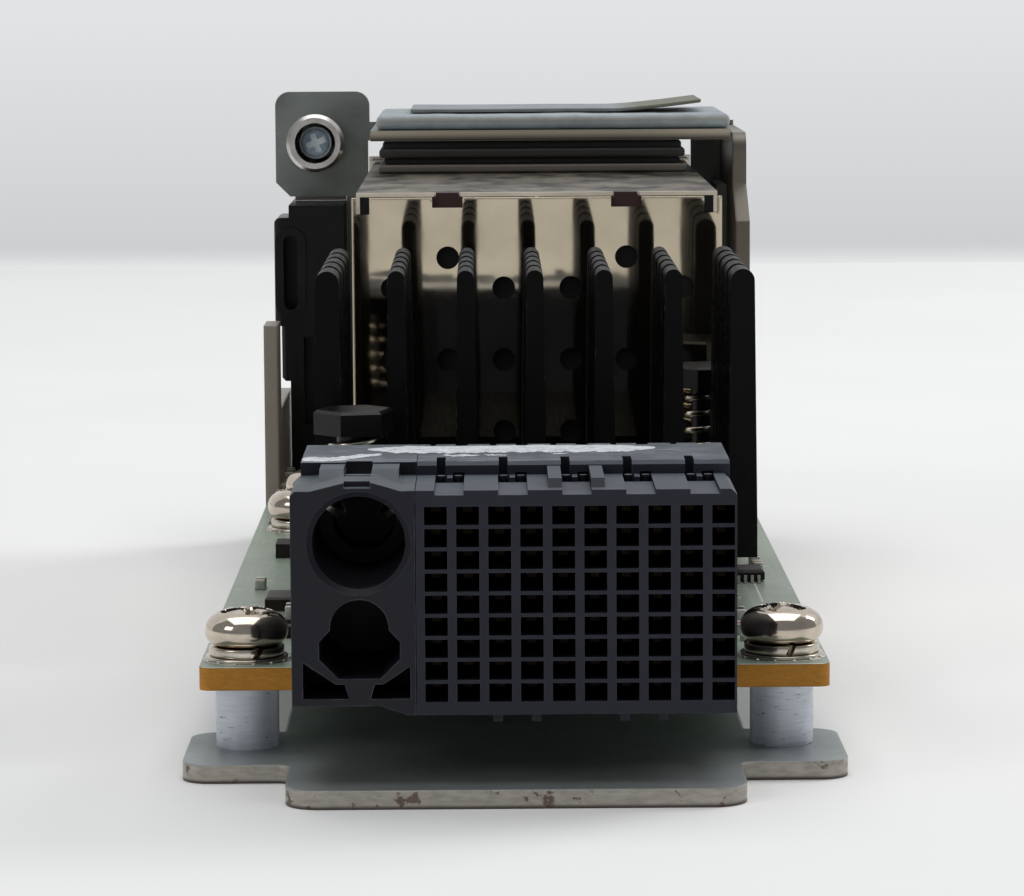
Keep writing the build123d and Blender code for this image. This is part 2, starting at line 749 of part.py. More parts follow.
def port_separators():
    """In each column, a folded sheet between the ports, a light pipe and a connector."""
    lower, upper = port_levels()
    for name, (x0, x1) in port_columns.items():
        left, right = x0 + piece_gap, x1 - piece_gap
        near = cage_near + cage_wall + piece_gap + block_depth + 2 * piece_gap
        far = cage_far - 0.5
        low, high = lower + port_height, upper
        middle = (left + right) / 2
        sheet_u = block(left, right, near, far, low, high)
        sheet_u -= block(left - 1, right + 1, near - 1, far - cage_wall, low + cage_wall, high - cage_wall)
        pipe_z = low + cage_wall + pipe_web + pipe_radius
        for side in (-1, 1):
            sheet_u -= bar_y(pipe_radius + 0.1, middle + side * pipe_spread, far - 1, far + 1, pipe_z)
        save(f"port_separator_{name}", sheet_u)

        web_low = low + cage_wall
        pipe = block(middle - pipe_spread - 1, middle + pipe_spread + 1, near + 2, far - 3, web_low, web_low + pipe_web)
        for side in (-1, 1):
            x = middle + side * pipe_spread
            rod = bar_y(pipe_radius, x, near + 2, cage_far + 0.3, pipe_z)
            lens_rim = rod.edges().filter_by(GeomType.CIRCLE).sort_by(Axis.Y)[-1]
            pipe += fillet(lens_rim, 0.5)
            pipe += block(x - 0.5, x + 0.5, near + 2, far - 3, web_low, pipe_z)
        save(f"light_pipe_{name}", pipe)

        back = cage_near + cage_wall + 2 * piece_gap
        body = block(left, right, back, back + block_depth, lower, cage_top - cage_wall - piece_gap)
        peg_half = peg_width / 2
        body += block(middle - peg_half, middle + peg_half, back, back + peg_length, cage_top - 1, cage_top)
        for level in (lower, upper):
            z = level + 2.2
            nose = block(
                middle - nose_width / 2, middle + nose_width / 2, back + block_depth - 1,
                back + block_depth + nose_depth, z, z + nose_height
            )
            nose = chamfer(nose.edges().filter_by(Axis.Y), 0.5)
            slot_z = z + nose_height / 2
            body += nose
            body -= block(
                middle - nose_width / 2 + 1.2, middle + nose_width / 2 - 1.2, back + block_depth - 2,
                back + block_depth + nose_depth + 1, slot_z - card_slot / 2, slot_z + card_slot / 2
            )
        save(f"port_connector_{name}", body)


def frame_box(offset, y0, y1):
    """The cage's outline grown by an offset, as a box."""
    return block(cage_left - offset, cage_right + offset, y0, y1, cage_low - offset, cage_top + offset)


def cage_collar():
    """The ring of spring fingers between the cage and the faceplate's opening."""
    y1 = cage_far
    y0 = y1 - collar_length
    inner = collar_gap
    outer = inner + collar_wall
    ring = frame_box(outer, y0, y1)
    ring += frame_box(outer + collar_ridge, plate_back - 0.4, plate_front + 0.4)
    ring -= frame_box(inner, y0 - 1, y1 + 1)
    slit_near = y0 + 1.2
    across = int((cage_width - 2) / finger_pitch)
    for i in range(across):
        x = cage_x + (i - (across - 1) / 2) * finger_pitch
        half = finger_slit / 2
        ring -= block(x - half, x + half, slit_near, y1 + 1, cage_low - 2, cage_top + 2)
    upward = int((cage_height - 2) / finger_pitch)
    for i in range(upward):
        z = (cage_low + cage_top) / 2 + (i - (upward - 1) / 2) * finger_pitch
        half = finger_slit / 2
        ring -= block(cage_left - 2, cage_right + 2, slit_near, y1 + 1, z - half, z + half)
    save("cage_collar", ring)


def cage_gasket():
    """The soft strip between the cage's roof and the faceplate's top flange."""
    x0, x1 = cage_x - gasket_width / 2, cage_x + gasket_width / 2
    y0, y1 = gasket_near, gasket_near + gasket_length
    low, high = cage_top + piece_gap, flange_low - piece_gap
    middle = (low + high) / 2
    layers = block(x0, x1, y0, y1, low, middle - 0.1)
    layers += block(x0 + 0.5, x1 - 0.5, y0 + 0.5, y1 - 0.5, middle - 0.2, middle + 0.2)
    layers += block(x0, x1, y0, y1, middle + 0.1, high)
    save("cage_gasket", layers)


def faceplate():
    """The bent plate: front, top flange, foot flange, side flange and screw tab."""
    half = tray_width / 2
    x_left = lug_inner
    plate = block(x_left, half, plate_back, plate_front, 0, plate_top)
    plate += block(flange_left, flange_right, flange_near, plate_back, flange_low, plate_top)
    top_edge = plate.edges().filter_by(Axis.X).group_by(Axis.Z)[-1].sort_by(Axis.Y)[-1]
    plate = fillet(top_edge, plate_thick * 0.9)
    side_near = plate_back - foot_flange
    plate += block(cage_left, wall_inner - 1, side_near, plate_back, sheet, sheet + plate_thick)
    plate += block(wall_inner - plate_thick, wall_inner, side_near, plate_back, side_flange_low, side_flange_high)
    tab = tab_outline()
    plate += tab
    clear = cut_clear
    plate -= block(
        cage_left - clear, cage_right + clear, plate_back - 0.01, plate_front + 1, cage_low - clear, cut_top
    )
    plate -= block(-half - 1, lug_inner, plate_back - 1, plate_front + 1, -1, lever_notch_top)
    plate -= bar_y(ferrule_radius, captive_x, plate_back - 1, plate_front + 1, captive_z)
    for x, y in foot_rivet_spots():
        plate -= post(rivet_radius, x, y, 0, 3 * sheet)
    for y, z in side_rivet_spots():
        plate -= bar_x(rivet_radius, wall_inner - 2 * sheet, wall_inner + 1, y, z)
    save("faceplate", plate)
    rivet_top = sheet + plate_thick + rivet_stand
    rivets = [post(rivet_radius - rivet_fit, x, y, 0.05, rivet_top) for x, y in foot_rivet_spots()]
    rivet_left = wall_inner - plate_thick - rivet_stand
    for y, z in side_rivet_spots():
        rivets.append(bar_x(rivet_radius - rivet_fit, rivet_left, half - 0.05, y, z))
    save("faceplate_rivets", *rivets)


def tab_outline():
    """The screw tab above the lever, with rounded upper corners and a cut lower one."""
    half = tray_width / 2
    lower_cut = 1.3
    outline = [
        (-half, tab_low + lower_cut), (-half + lower_cut, tab_low), (tab_right, tab_low),
        (tab_right, tab_top), (-half, tab_top),
    ]
    tab = upright(outline, plate_back, plate_front)
    corners = tab.edges().filter_by(Axis.Y).group_by(Axis.Z)[-1]
    tab = fillet(corners, tab_corner)
    return tab + block(tab_right - 1, flange_left + 2, plate_back, plate_front, flange_low - 0.5, plate_top)


def top_gaskets():
    """The pale gasket on the top flange and the thinner strip that peels at one end."""
    inset = top_gasket_inset
    low = plate_top + piece_gap
    high = low + top_gasket_thick
    pad = block(flange_left + inset, flange_right, flange_near + inset, plate_back - 1, low, high)
    pad = fillet(pad.edges().group_by(Axis.Z)[-1], top_gasket_thick * 0.4)
    save("top_gasket", pad)
    low = high + piece_gap
    y = (flange_near + plate_back) / 2
    peel = strip_right - strip_peel
    outline = [
        (strip_left, low), (peel, low), (strip_right, low + strip_lift),
        (strip_right, low + strip_lift + strip_thick), (peel, low + strip_thick), (strip_left, low + strip_thick),
    ]
    save("gasket_strip", upright(outline, y - strip_width / 2, y + strip_width / 2))


def captive_screw():
    """The ferrule in the tab, and the sprung screw with its retainer and knob."""
    x, z = captive_x, captive_z
    back = plate_back - ferrule_back
    front = plate_front + ferrule_front
    ferrule = bar_y(ferrule_radius - 0.02, x, back, front, z)
    ferrule += bar_y(ferrule_flange, x, plate_front, plate_front + ferrule_flange_thick, z)
    rim = ferrule.edges().filter_by(GeomType.CIRCLE).sort_by(Axis.Y)[0]
    ferrule = chamfer(rim, 0.3)
    ferrule -= bar_y(ferrule_bore, x, back - 1, front + 1, z)
    save("screw_ferrule", ferrule)

    spring_near = front + piece_gap
    spring = Pos(x, spring_near, z) * Rot(-90, 0, 0)
    spring *= coil(captive_spring_radius, captive_wire, captive_spring_length, captive_spring_turns)
    save("screw_spring", spring)

    washer_near = spring_near + captive_spring_length + piece_gap
    washer_far = washer_near + retainer_thick
    washer = bar_y(retainer_radius, x, washer_near, washer_far, z)
    washer -= bar_y(captive_radius + lever_pin_fit, x, washer_near - 1, washer_far + 1, z)
    save("screw_retainer", washer)

    roof = washer_far + piece_gap
    mouth = plate_front + ferrule_flange_thick + captive_travel + knob_mouth_gap
    knob_end = roof + knob_roof
    knob = bar_y(knob_radius, x, mouth, knob_end, z)
    knob = chamfer(knob.edges().filter_by(GeomType.CIRCLE).sort_by(Axis.Y)[-1], 0.6)
    for i in range(knob_teeth):
        angle = 2 * math.pi * i / knob_teeth
        gx, gz = x + knob_radius * math.cos(angle), z + knob_radius * math.sin(angle)
        knob -= Pos(gx, roof, gz) * Rot(0, -math.degrees(angle), 0) * Rot(0, 45, 0) * Box(0.32, 4 * (knob_end - mouth), 0.32)
    knob -= bar_y(knob_radius - knob_wall, x, mouth - 1, roof, z)
    knob -= block(x - knob_radius, x + knob_radius, knob_end - 0.7, knob_end + 1, z - 0.4, z + 0.4)
    shank = bar_y(captive_radius, x, captive_tip_y, roof + 0.2, z)
    shank = chamfer(shank.edges().filter_by(GeomType.CIRCLE).sort_by(Axis.Y)[0], 0.3)
    cutter = Pos(x, captive_tip_y, z) * Rot(90, 0, 0) * Rot(0, 0, 20) * cross_recess(0.8, 2.2, 0.55)
    save("captive_screw", knob + shank - cutter)


def ejector_lever():
    """The black lever: hub and jaw at its foot, a stepped arm, a loop and a finger lip."""
    y, z = lever_pivot_y, lever_pivot_z
    inner, outer = lever_inner, lever_outer
    near = y - lever_depth / 2
    far = near + lever_depth - 0.4
    arm = [
        (y - lever_hub, z), (near, lever_wide_z), (near, lever_top), (lip_reach - 1.5, lever_top),
        (lip_reach, lever_top - 1.2), (lip_reach, lever_top - 4.2), (y + 6.0, lever_top - 5.8),
        (far, lever_wide_z), (y + lever_hub, z + 1),
    ]
    body = sideways(arm, outer, inner)
    body += bar_x(lever_hub, outer, inner, y, z)
    jaw = [(y + 0.5, z + 1.0), (y + 2.4, z + 2.0), (y + 7.6, z - 3.0), (y + 7.0, z - 4.6), (y + 1.0, z - 2.8)]
    body += sideways(jaw, outer, inner)
    middle = block(lever_mid_outer, outer + 0.5, near + 0.1, far, lever_mid_z, lever_wide_z + 1)
    body += chamfer(middle.edges().group_by(Axis.X)[0], 0.3)
    head = block(lever_head_outer, outer + 0.5, near, far, lever_wide_z, lever_head_top)
    body += fillet(head.edges().group_by(Axis.X)[0], lever_head_round)
    loop_x = lever_head_outer + loop_inset
    body += oval_bar(loop_x, loop_width, loop_rim, near - loop_rim_rise, near + 1)
    body -= oval_bar(loop_x, loop_width, 0, near - 1, near + loop_deep)
    pocket_wall = lever_thick / 4
    body -= block(outer + pocket_wall, inner - pocket_wall, near - 1, near + 2, lever_wide_z - 9, lever_wide_z - 1)
    body -= bar_x(lever_pin_radius + lever_pin_fit, lever_head_outer - 1, inner + 1, y, z)
    save("ejector_lever", body)
    save("lever_pin", bar_x(lever_pin_radius, -tray_width / 2, lug_outer, y, z))


def oval_bar(x, width, rim, y0, y1):
    """A bar along the card with the finger loop's upright oval section, grown by a rim."""
    radius = width / 2 + rim
    low, high = loop_low + width / 2, loop_high - width / 2
    bar = block(x - rim, x + width + rim, y0, y1, low, high)
    bar += bar_y(radius, x + width / 2, y0, y1, low)
    return bar + bar_y(radius, x + width / 2, y0, y1, high)


def board_parts():
    """The loose parts that show beside the heat sink."""
    x, y = block_x, block_y
    dx, dy, dz = block_size
    brown = block(x - dx / 2, x + dx / 2, y - dy / 2, y + dy / 2, board_top, board_top + dz)
    save("brown_block", chamfer(brown.edges().group_by(Axis.Z)[-1], 0.15))
    x, y = dark_chip_at
    dx, dy, dz = dark_chip_size
    save("dark_chip", block(x - dx / 2, x + dx / 2, y - dy / 2, y + dy / 2, board_top, board_top + dz))
    dx, dy, dz = gull_body
    low = board_top + 0.15
    body = block(gull_x - dx / 2, gull_x + dx / 2, gull_y - dy / 2, gull_y + dy / 2, low, low + dz)
    save("gull_wing_chip", chamfer(body.edges().group_by(Axis.Z)[-1], 0.2))
    legs = []
    for side in (-1, 1):
        for i in range(gull_leg_count):
            lx = gull_x + (i - (gull_leg_count - 1) / 2) * gull_leg_pitch
            legs.append(gull_leg(lx, gull_y + side * dy / 2, side, low + dz / 2))
    save("gull_wing_legs", *legs)


def gull_leg(x, y, side, z):
    """One bent leg that leaves the body at height z and lands on the board."""
    t = gull_leg_thick
    knee = 0.25
    points = [
        (0, z), (knee + t, z), (knee + t, board_top + t), (gull_leg_reach, board_top + t),
        (gull_leg_reach, board_top), (knee, board_top), (knee, z - t), (0, z - t),
    ]
    half = gull_leg_width / 2
    return sideways([(y + side * py, pz) for py, pz in points], x - half, x + half)


os.makedirs("parts", exist_ok=True)
carrier_tray()
standoffs()
circuit_board()
board_screws()
signal_housing()
wafer_organiser()
wafers()
guide_block()
heat_sink()
chip_stack()
push_pins()
cage_shell()
cage_rear_cover()
port_separators()
cage_collar()
cage_gasket()
faceplate()
top_gaskets()
captive_screw()
ejector_lever()
board_parts()
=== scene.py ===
"""Looks of a small pluggable switch line card: finishes, fine pieces, studio and camera."""

import logging
import math
from dataclasses import dataclass, field
from enum import Enum
from typing import Dict, List, Optional, Sequence, Tuple

import bpy
import numpy as np
from mathutils import Matrix, Vector


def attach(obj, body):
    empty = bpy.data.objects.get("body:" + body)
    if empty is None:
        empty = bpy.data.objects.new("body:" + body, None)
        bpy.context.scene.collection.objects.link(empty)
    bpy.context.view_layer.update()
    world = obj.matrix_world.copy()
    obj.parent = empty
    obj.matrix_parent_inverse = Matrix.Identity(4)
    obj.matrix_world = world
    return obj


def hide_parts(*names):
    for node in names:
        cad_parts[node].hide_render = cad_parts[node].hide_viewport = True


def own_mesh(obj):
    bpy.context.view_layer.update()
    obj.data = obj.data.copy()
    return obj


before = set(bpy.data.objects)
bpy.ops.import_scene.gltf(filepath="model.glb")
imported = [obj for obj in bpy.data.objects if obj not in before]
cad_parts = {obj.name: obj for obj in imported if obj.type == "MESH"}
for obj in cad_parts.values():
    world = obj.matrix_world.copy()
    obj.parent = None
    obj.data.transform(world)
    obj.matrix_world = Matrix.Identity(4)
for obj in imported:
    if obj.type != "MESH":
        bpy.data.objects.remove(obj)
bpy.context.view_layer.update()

LOG = logging.getLogger("line_card")
MM = 0.001
FULL_TURN = 2 * math.pi

Tone = Tuple[int, int, int]
Place = Tuple[float, float, float]
Socket = bpy.types.NodeSocket


def linear(tone: Tone) -> Tuple[float, float, float, float]:
    """Turn an 8-bit screen tone into a linear colour with full alpha.

    Args:
        tone: Red, green and blue from 0 to 255.

    Returns:
        The linear red, green and blue, and an alpha of one.
    """
    part = [c / 255 for c in tone]
    part = [c / 12.92 if c <= 0.04045 else ((c + 0.055) / 1.055) ** 2.4 for c in part]
    return (part[0], part[1], part[2], 1.0)


def shade(tone: Tone, factor: float) -> Tone:
    """Give a tone made darker or lighter by a factor."""
    return tuple(min(255, int(c * factor)) for c in tone)


def add_object(name: str, data: bpy.types.ID) -> bpy.types.Object:
    """Make an object from its data and link it to the scene."""
    obj = bpy.data.objects.new(name, data)
    bpy.context.scene.collection.objects.link(obj)
    return obj


# The shaders and finishes


class Shader:
    """One material's node tree round a Principled shader, read in Object coordinates in millimetres.

    Attributes:
        material: The material itself.
        place: The place on the object in millimetres.
        colour: The base tone, or what the tints so far have made of it.
    """

    def __init__(self, name: str, tone: Tone = (255, 255, 255)) -> None:
        """Start a material.

        Args:
            name: The material's name.
            tone: The tone that its tints are laid over.
        """
        self.material = bpy.data.materials.new(name)
        self.material.use_nodes = True
        self.tree = self.material.node_tree
        self.main = self.tree.nodes["Principled BSDF"]
        self.colour: object = tone
        self._axes: Optional[bpy.types.Node] = None
        where = self.put("ShaderNodeTexCoord", {}).outputs["Object"]
        self.place = self.put("ShaderNodeMapping", {"Vector": where, "Scale": (1 / MM,) * 3}).outputs[0]

    def put(self, kind: str, inputs: Dict[object, object], **settings: object) -> bpy.types.Node:
        """Add a node, set its fields and fill or link its inputs.

        Args:
            kind: The node's type.
            inputs: Input name or number to a value or to another node's socket.
            **settings: Fields of the node itself.

        Returns:
            The new node.
        """
        node = self.tree.nodes.new(kind)
        for key, value in settings.items():
            setattr(node, key, value)
        for key, value in inputs.items():
            if isinstance(value, Socket):
                self.tree.links.new(value, node.inputs[key])
            else:
                node.inputs[key].default_value = value
        return node

    def set(self, **values: object) -> None:
        """Set single values on the shader's own sockets, with underscores for spaces."""
        for key, value in values.items():
            self.main.inputs[key.replace("_", " ")].default_value = value

    def feed(self, name: str, socket: Socket) -> None:
        """Link a socket to one of the shader's inputs."""
        self.tree.links.new(socket, self.main.inputs[name])

    def tint(self, mask: Socket, tone: object) -> None:
        """Lay a tone, or a colour from a socket, over the base colour where the mask is one."""
        self.colour = self.blend(mask, self.colour, tone)
        self.feed("Base Color", self.colour)

    def axis(self, letter: str) -> Socket:
        """Give the place along X, Y or Z in millimetres."""
        if self._axes is None:
            self._axes = self.put("ShaderNodeSeparateXYZ", {0: self.place})
        return self._axes.outputs[letter]

    def off(self, letter: str, place: float) -> Socket:
        """Give the distance from a place along one axis."""
        return self.math("ABSOLUTE", self.math("SUBTRACT", self.axis(letter), place))

    def geometry(self, name: str) -> Socket:
        """Give one of the surface's own values, such as its normal."""
        return self.put("ShaderNodeNewGeometry", {}).outputs[name]

    def facing(self, letter: str) -> Socket:
        """Give the part of the surface's own direction that points along X, Y or Z."""
        return self.put("ShaderNodeSeparateXYZ", {0: self.geometry("True Normal")}).outputs[letter]

    def stretched(self, *factors: float) -> Socket:
        """Give the place with each axis scaled, for grain that runs one way."""
        return self.put("ShaderNodeMapping", {"Vector": self.place, "Scale": factors}).outputs[0]

    def noise(self, size: float, detail: float = 3.0, rough: float = 0.55,
              place: Optional[Socket] = None) -> Socket:
        """Give soft cloudy noise whose blotches are about size millimetres."""
        inputs = {"Vector": place or self.place, "Scale": 1 / size, "Detail": detail, "Roughness": rough}
        return self.put("ShaderNodeTexNoise", inputs).outputs["Fac"]

    def cells(self, size: float) -> bpy.types.Node:
        """Give a cell pattern whose cells are about size millimetres."""
        return self.put("ShaderNodeTexVoronoi", {"Vector": self.place, "Scale": 1 / size})

    def span(self, value: Socket, low: float, high: float, to_low: float = 0.0,
             to_high: float = 1.0) -> Socket:
        """Map a value from one span, which may run downwards, to another, held at the ends."""
        inputs = {"Value": value, "From Min": low, "From Max": high, "To Min": to_low, "To Max": to_high}
        return self.put("ShaderNodeMapRange", inputs).outputs["Result"]

    def math(self, kind: str, first: object, second: object = 0.0) -> Socket:
        """Join two values by one operation of arithmetic."""
        return self.put("ShaderNodeMath", {0: first, 1: second}, operation=kind).outputs[0]

    def times(self, mask: Socket, *others: object) -> Socket:
        """Multiply masks and plain numbers."""
        for other in others:
            mask = self.math("MULTIPLY", mask, other)
        return mask

    def ramp(self, letter: str, start: float, end: float, top: float = 1.0) -> Socket:
        """Give a mask that rises along an axis, from nought at the start to the top at the end."""
        return self.span(self.axis(letter), start, end, 0.0, top)

    def beyond(self, letter: str, low: float, high: float, soft: float = 0.1) -> Socket:
        """Give a mask that is one outside a span along one axis and nought inside it."""
        return self.math("MAXIMUM", self.ramp(letter, low, low - soft), self.ramp(letter, high, high + soft))

    def turned(self, letter: str, start: float, end: float, top: float = 1.0) -> Socket:
        """Give a mask that rises to the top as the surface turns to face along an axis."""
        return self.span(self.facing(letter), start, end, 0.0, top)

    def upright(self, start: float = 0.7, end: float = 0.3) -> Socket:
        """Give a mask that is one where the surface stands upright."""
        return self.span(self.math("ABSOLUTE", self.facing("Z")), start, end)

    def blend(self, mask: object, first: object, second: object) -> Socket:
        """Mix two colours by a mask; each colour is a screen tone or a socket."""
        ends = {number: value if isinstance(value, Socket) else linear(value)
                for number, value in ((6, first), (7, second))}
        return self.put("ShaderNodeMix", {0: mask, **ends}, data_type="RGBA").outputs[2]

    def lean_to(self, mask: Socket, first: Socket, second: Socket) -> Socket:
        """Mix two directions by a mask."""
        return self.put("ShaderNodeMix", {0: mask, 4: first, 5: second}, data_type="VECTOR").outputs[1]

    def bevel(self, radius: float, samples: int = 6) -> Socket:
        """Give the direction of a surface whose edges are rounded by a radius in millimetres."""
        return self.put("ShaderNodeBevel", {"Radius": radius * MM}, samples=samples).outputs[0]

    def edges(self, reach: float) -> Socket:
        """Give a mask that is one on edges narrower than reach, from how far the rounded normal turns."""
        ways = {0: self.bevel(reach), 1: self.geometry("Normal")}
        dot = self.put("ShaderNodeVectorMath", ways, operation="DOT_PRODUCT").outputs["Value"]
        return self.span(dot, 0.98, 0.7)

    def bump(self, height: Socket, depth: float, strength: float = 1.0,
             after: Optional[Socket] = None) -> Socket:
        """Raise the surface by a height of depth millimetres, and return the new normal."""
        inputs: Dict[object, object] = {"Height": height, "Distance": depth * MM, "Strength": strength}
        if after is not None:
            inputs["Normal"] = after
        return self.put("ShaderNodeBump", inputs).outputs["Normal"]

    def relief(self, height: Socket, depth: float, strength: float, after: Optional[Socket] = None) -> None:
        """Raise the finished surface by a height of depth millimetres."""
        self.feed("Normal", self.bump(height, depth, strength, after))


@dataclass(frozen=True)
class Finish:
    """A finish with one base tone, made into a material once."""

    name: str
    tone: Tone
    rough: float = 0.5

    def dress(self, s: Shader) -> None:
        """Build the finish's nodes.

        Args:
            s: The material's node tree.
        """
        raise NotImplementedError

    def mottle(self, s: Shader, mask: Socket, factor: float, low: float = 0.3, high: float = 0.7) -> None:
        """Start from the tone times a factor, and turn to the tone itself as the mask goes up.

        Args:
            s: The material's node tree.
            mask: The noise to follow.
            factor: How much darker or lighter the changed tone is.
            low: The mask's value at the changed tone.
            high: Its value at the tone itself, which may be the lower one.
        """
        s.colour = shade(self.tone, factor)
        s.tint(s.span(mask, low, high), self.tone)

    def vary(self, s: Shader, mask: Socket, up: float, down: float = 0.0, high: float = 0.7) -> None:
        """Vary the roughness as a mask goes up, from down below the finish's own to up above it."""
        s.feed("Roughness", s.span(mask, 0.3, high, self.rough - down, self.rough + up))

    def material(self) -> bpy.types.Material:
        """Give the material, made the first time it is asked for."""
        known = bpy.data.materials.get(self.name)
        if known is None:
            s = Shader(self.name, self.tone)
            self.dress(s)
            known = s.material
        return known


@dataclass(frozen=True)
class GalvanisedSheet(Finish):
    """Zinc-coated steel sheet: soft spangle, rolling marks and dirty sheared edges."""

    # The two wall tones are painted light and shade: the lighter one for the left end, the darker for the
    # right.
    wall: Tone = (140, 132, 121)
    right_wall_shade: Tone = (104, 96, 84)
    wall_reach: float = 20.0
    sheet: float = 1.2
    edge: Tone = (178, 174, 164)
    streak: Tone = (132, 126, 118)
    foot: Tone = (92, 84, 78)
    stain: Tone = (84, 54, 46)

    def dress(self, s: Shader) -> None:
        """Build a satin grey sheet with spangle, browner walls painted lighter at the left and darker at the
        right as painted light and shade, and a rolled edge with a few stains.
        """
        grain = s.put("ShaderNodeSeparateColor", {0: s.cells(2.2).outputs["Color"]}).outputs[0]
        cloud = s.noise(9.0, 4.0)
        scratch = s.noise(0.5, 2.0, place=s.stretched(1.0, 0.08, 1.0))
        darker, lighter = shade(self.tone, 0.86), shade(self.tone, 1.07)
        s.colour = darker
        s.tint(s.span(grain, 0.0, 1.0, 0.3, 0.6), lighter)
        s.tint(s.span(cloud, 0.35, 0.7, 0.0, 0.35), darker)
        s.tint(s.span(scratch, 0.66, 0.74, 0.0, 0.25), lighter)
        up = s.ramp("Z", self.sheet * 1.2, self.sheet * 2.5)
        # Painted light and shade: the walls blend along X from the lighter tone to the darker one.
        wall = s.blend(s.ramp("X", -self.wall_reach, self.wall_reach), self.wall, self.right_wall_shade)
        s.tint(s.times(up, s.span(cloud, 0.2, 0.7, 0.75, 1.0)), wall)
        cut = s.times(s.upright(0.6, 0.35), s.ramp("Z", self.sheet * 1.05, self.sheet * 0.97))
        streak = s.noise(0.7, 3.0, 0.6, s.stretched(0.6, 1.0, 2.0))
        burr = s.blend(s.span(streak, 0.35, 0.7, 0.0, 0.6), self.edge, self.streak)
        burr = s.blend(s.ramp("Z", 0.28, 0.1), burr, self.foot)
        burr = s.blend(s.span(s.noise(1.5, 3.5, 0.62), 0.6, 0.64, 0.0, 0.8), burr, self.stain)
        s.tint(cut, burr)
        self.vary(s, cloud, 0.1, 0.08)
        s.set(Metallic=0.4)
        s.relief(s.noise(0.35, 4.0, 0.65), 0.02, 0.5, s.bevel(0.3, 4))


@dataclass(frozen=True)
class PlatedPlate(Finish):
    """Dull grey-green passivated plate with a brownish cut side."""

    lip_y: float = 100.2
    lip_z: Tuple[float, float] = (37.72, 38.24)
    side: Tone = (182, 172, 152)
    shaded: Tone = (66, 60, 52)
    rubbed: Tone = (164, 164, 158)

    def dress(self, s: Shader) -> None:
        """Build a low-sheen plate with cloudy tone, a cut lip with painted shade at its foot, and light edges.
        """
        cloud, fine = s.noise(6.0, 4.0), s.noise(0.3, 3.0)
        self.mottle(s, cloud, 0.8)
        s.tint(s.span(fine, 0.6, 0.75, 0.0, 0.3), shade(self.tone, 1.2))
        lip = s.times(s.ramp("Y", self.lip_y + 0.4, self.lip_y), s.turned("Y", -0.4, -0.7))
        # Painted shade: the cut lip darkens from its top down to its foot.
        s.tint(lip, s.blend(s.ramp("Z", *self.lip_z), self.shaded, self.side))
        s.tint(s.times(s.edges(0.18), 0.5), self.rubbed)
        self.vary(s, cloud, 0.1, 0.06)
        s.set(Metallic=0.3)
        s.relief(fine, 0.015, 0.4)


@dataclass(frozen=True)
class TurnedZinc(Finish):
    """Bluish zinc on a turned bar, with tool lines round it."""

    stroke: Tone = (58, 64, 74)

    def dress(self, s: Shader) -> None:
        """Build fine rings along the bar's own axis with broken dark strokes."""
        lines = s.noise(0.5, 3.0, 0.6, s.stretched(0.25, 0.25, 5.0))
        strokes = s.noise(0.6, 4.0, 0.7, s.stretched(0.5, 0.5, 3.2))
        self.mottle(s, lines, 0.93)
        s.tint(s.span(strokes, 0.62, 0.66, 0.0, 0.7), self.stroke)
        self.vary(s, strokes, 0.2)
        s.set(Metallic=0.65)
        s.relief(lines, 0.03, 0.6)


@dataclass(frozen=True)
class BrightNickel(Finish):
    """Polished nickel with faint handling marks."""

    def dress(self, s: Shader) -> None:
        """Build a mirror-like warm grey metal with slight dull patches."""
        haze = s.noise(1.6, 4.0)
        self.mottle(s, haze, 0.86, 0.7, 0.35)
        self.vary(s, haze, 0.12, high=0.75)
        s.set(Metallic=1.0)
        s.relief(s.noise(0.7, 3.0), 0.006, 0.35)


@dataclass(frozen=True)
class BluedScrew(Finish):
    """Bluish zinc on the captive screw, whose driven end is dark round a recess painted near white as painted
    light.
    """

    tip_y: float = 119.6
    recess: Tone = (240, 247, 250)
    flat: Tone = (98, 120, 136)

    def dress(self, s: Shader) -> None:
        """Build a cloudy zinc, darker on the flat of the screw's end, with painted light inside its recess."""
        haze, tip = s.noise(0.9, 4.0), self.tip_y
        self.mottle(s, haze, 0.84, 0.7, 0.35)
        # Painted light: the recess lies in shade, and is coloured near white to look lit.
        s.tint(s.ramp("Y", tip + 2.2, tip + 1.8), self.recess)
        s.tint(s.times(s.ramp("Y", tip + 0.45, tip + 0.1), s.span(haze, 0.2, 0.6, 0.7, 1.0)), self.flat)
        s.feed("Metallic", s.ramp("Y", tip + 1.8, tip + 2.2, 0.7))
        self.vary(s, haze, 0.15, high=0.75)
        s.relief(s.noise(0.3, 3.0), 0.02, 0.4)


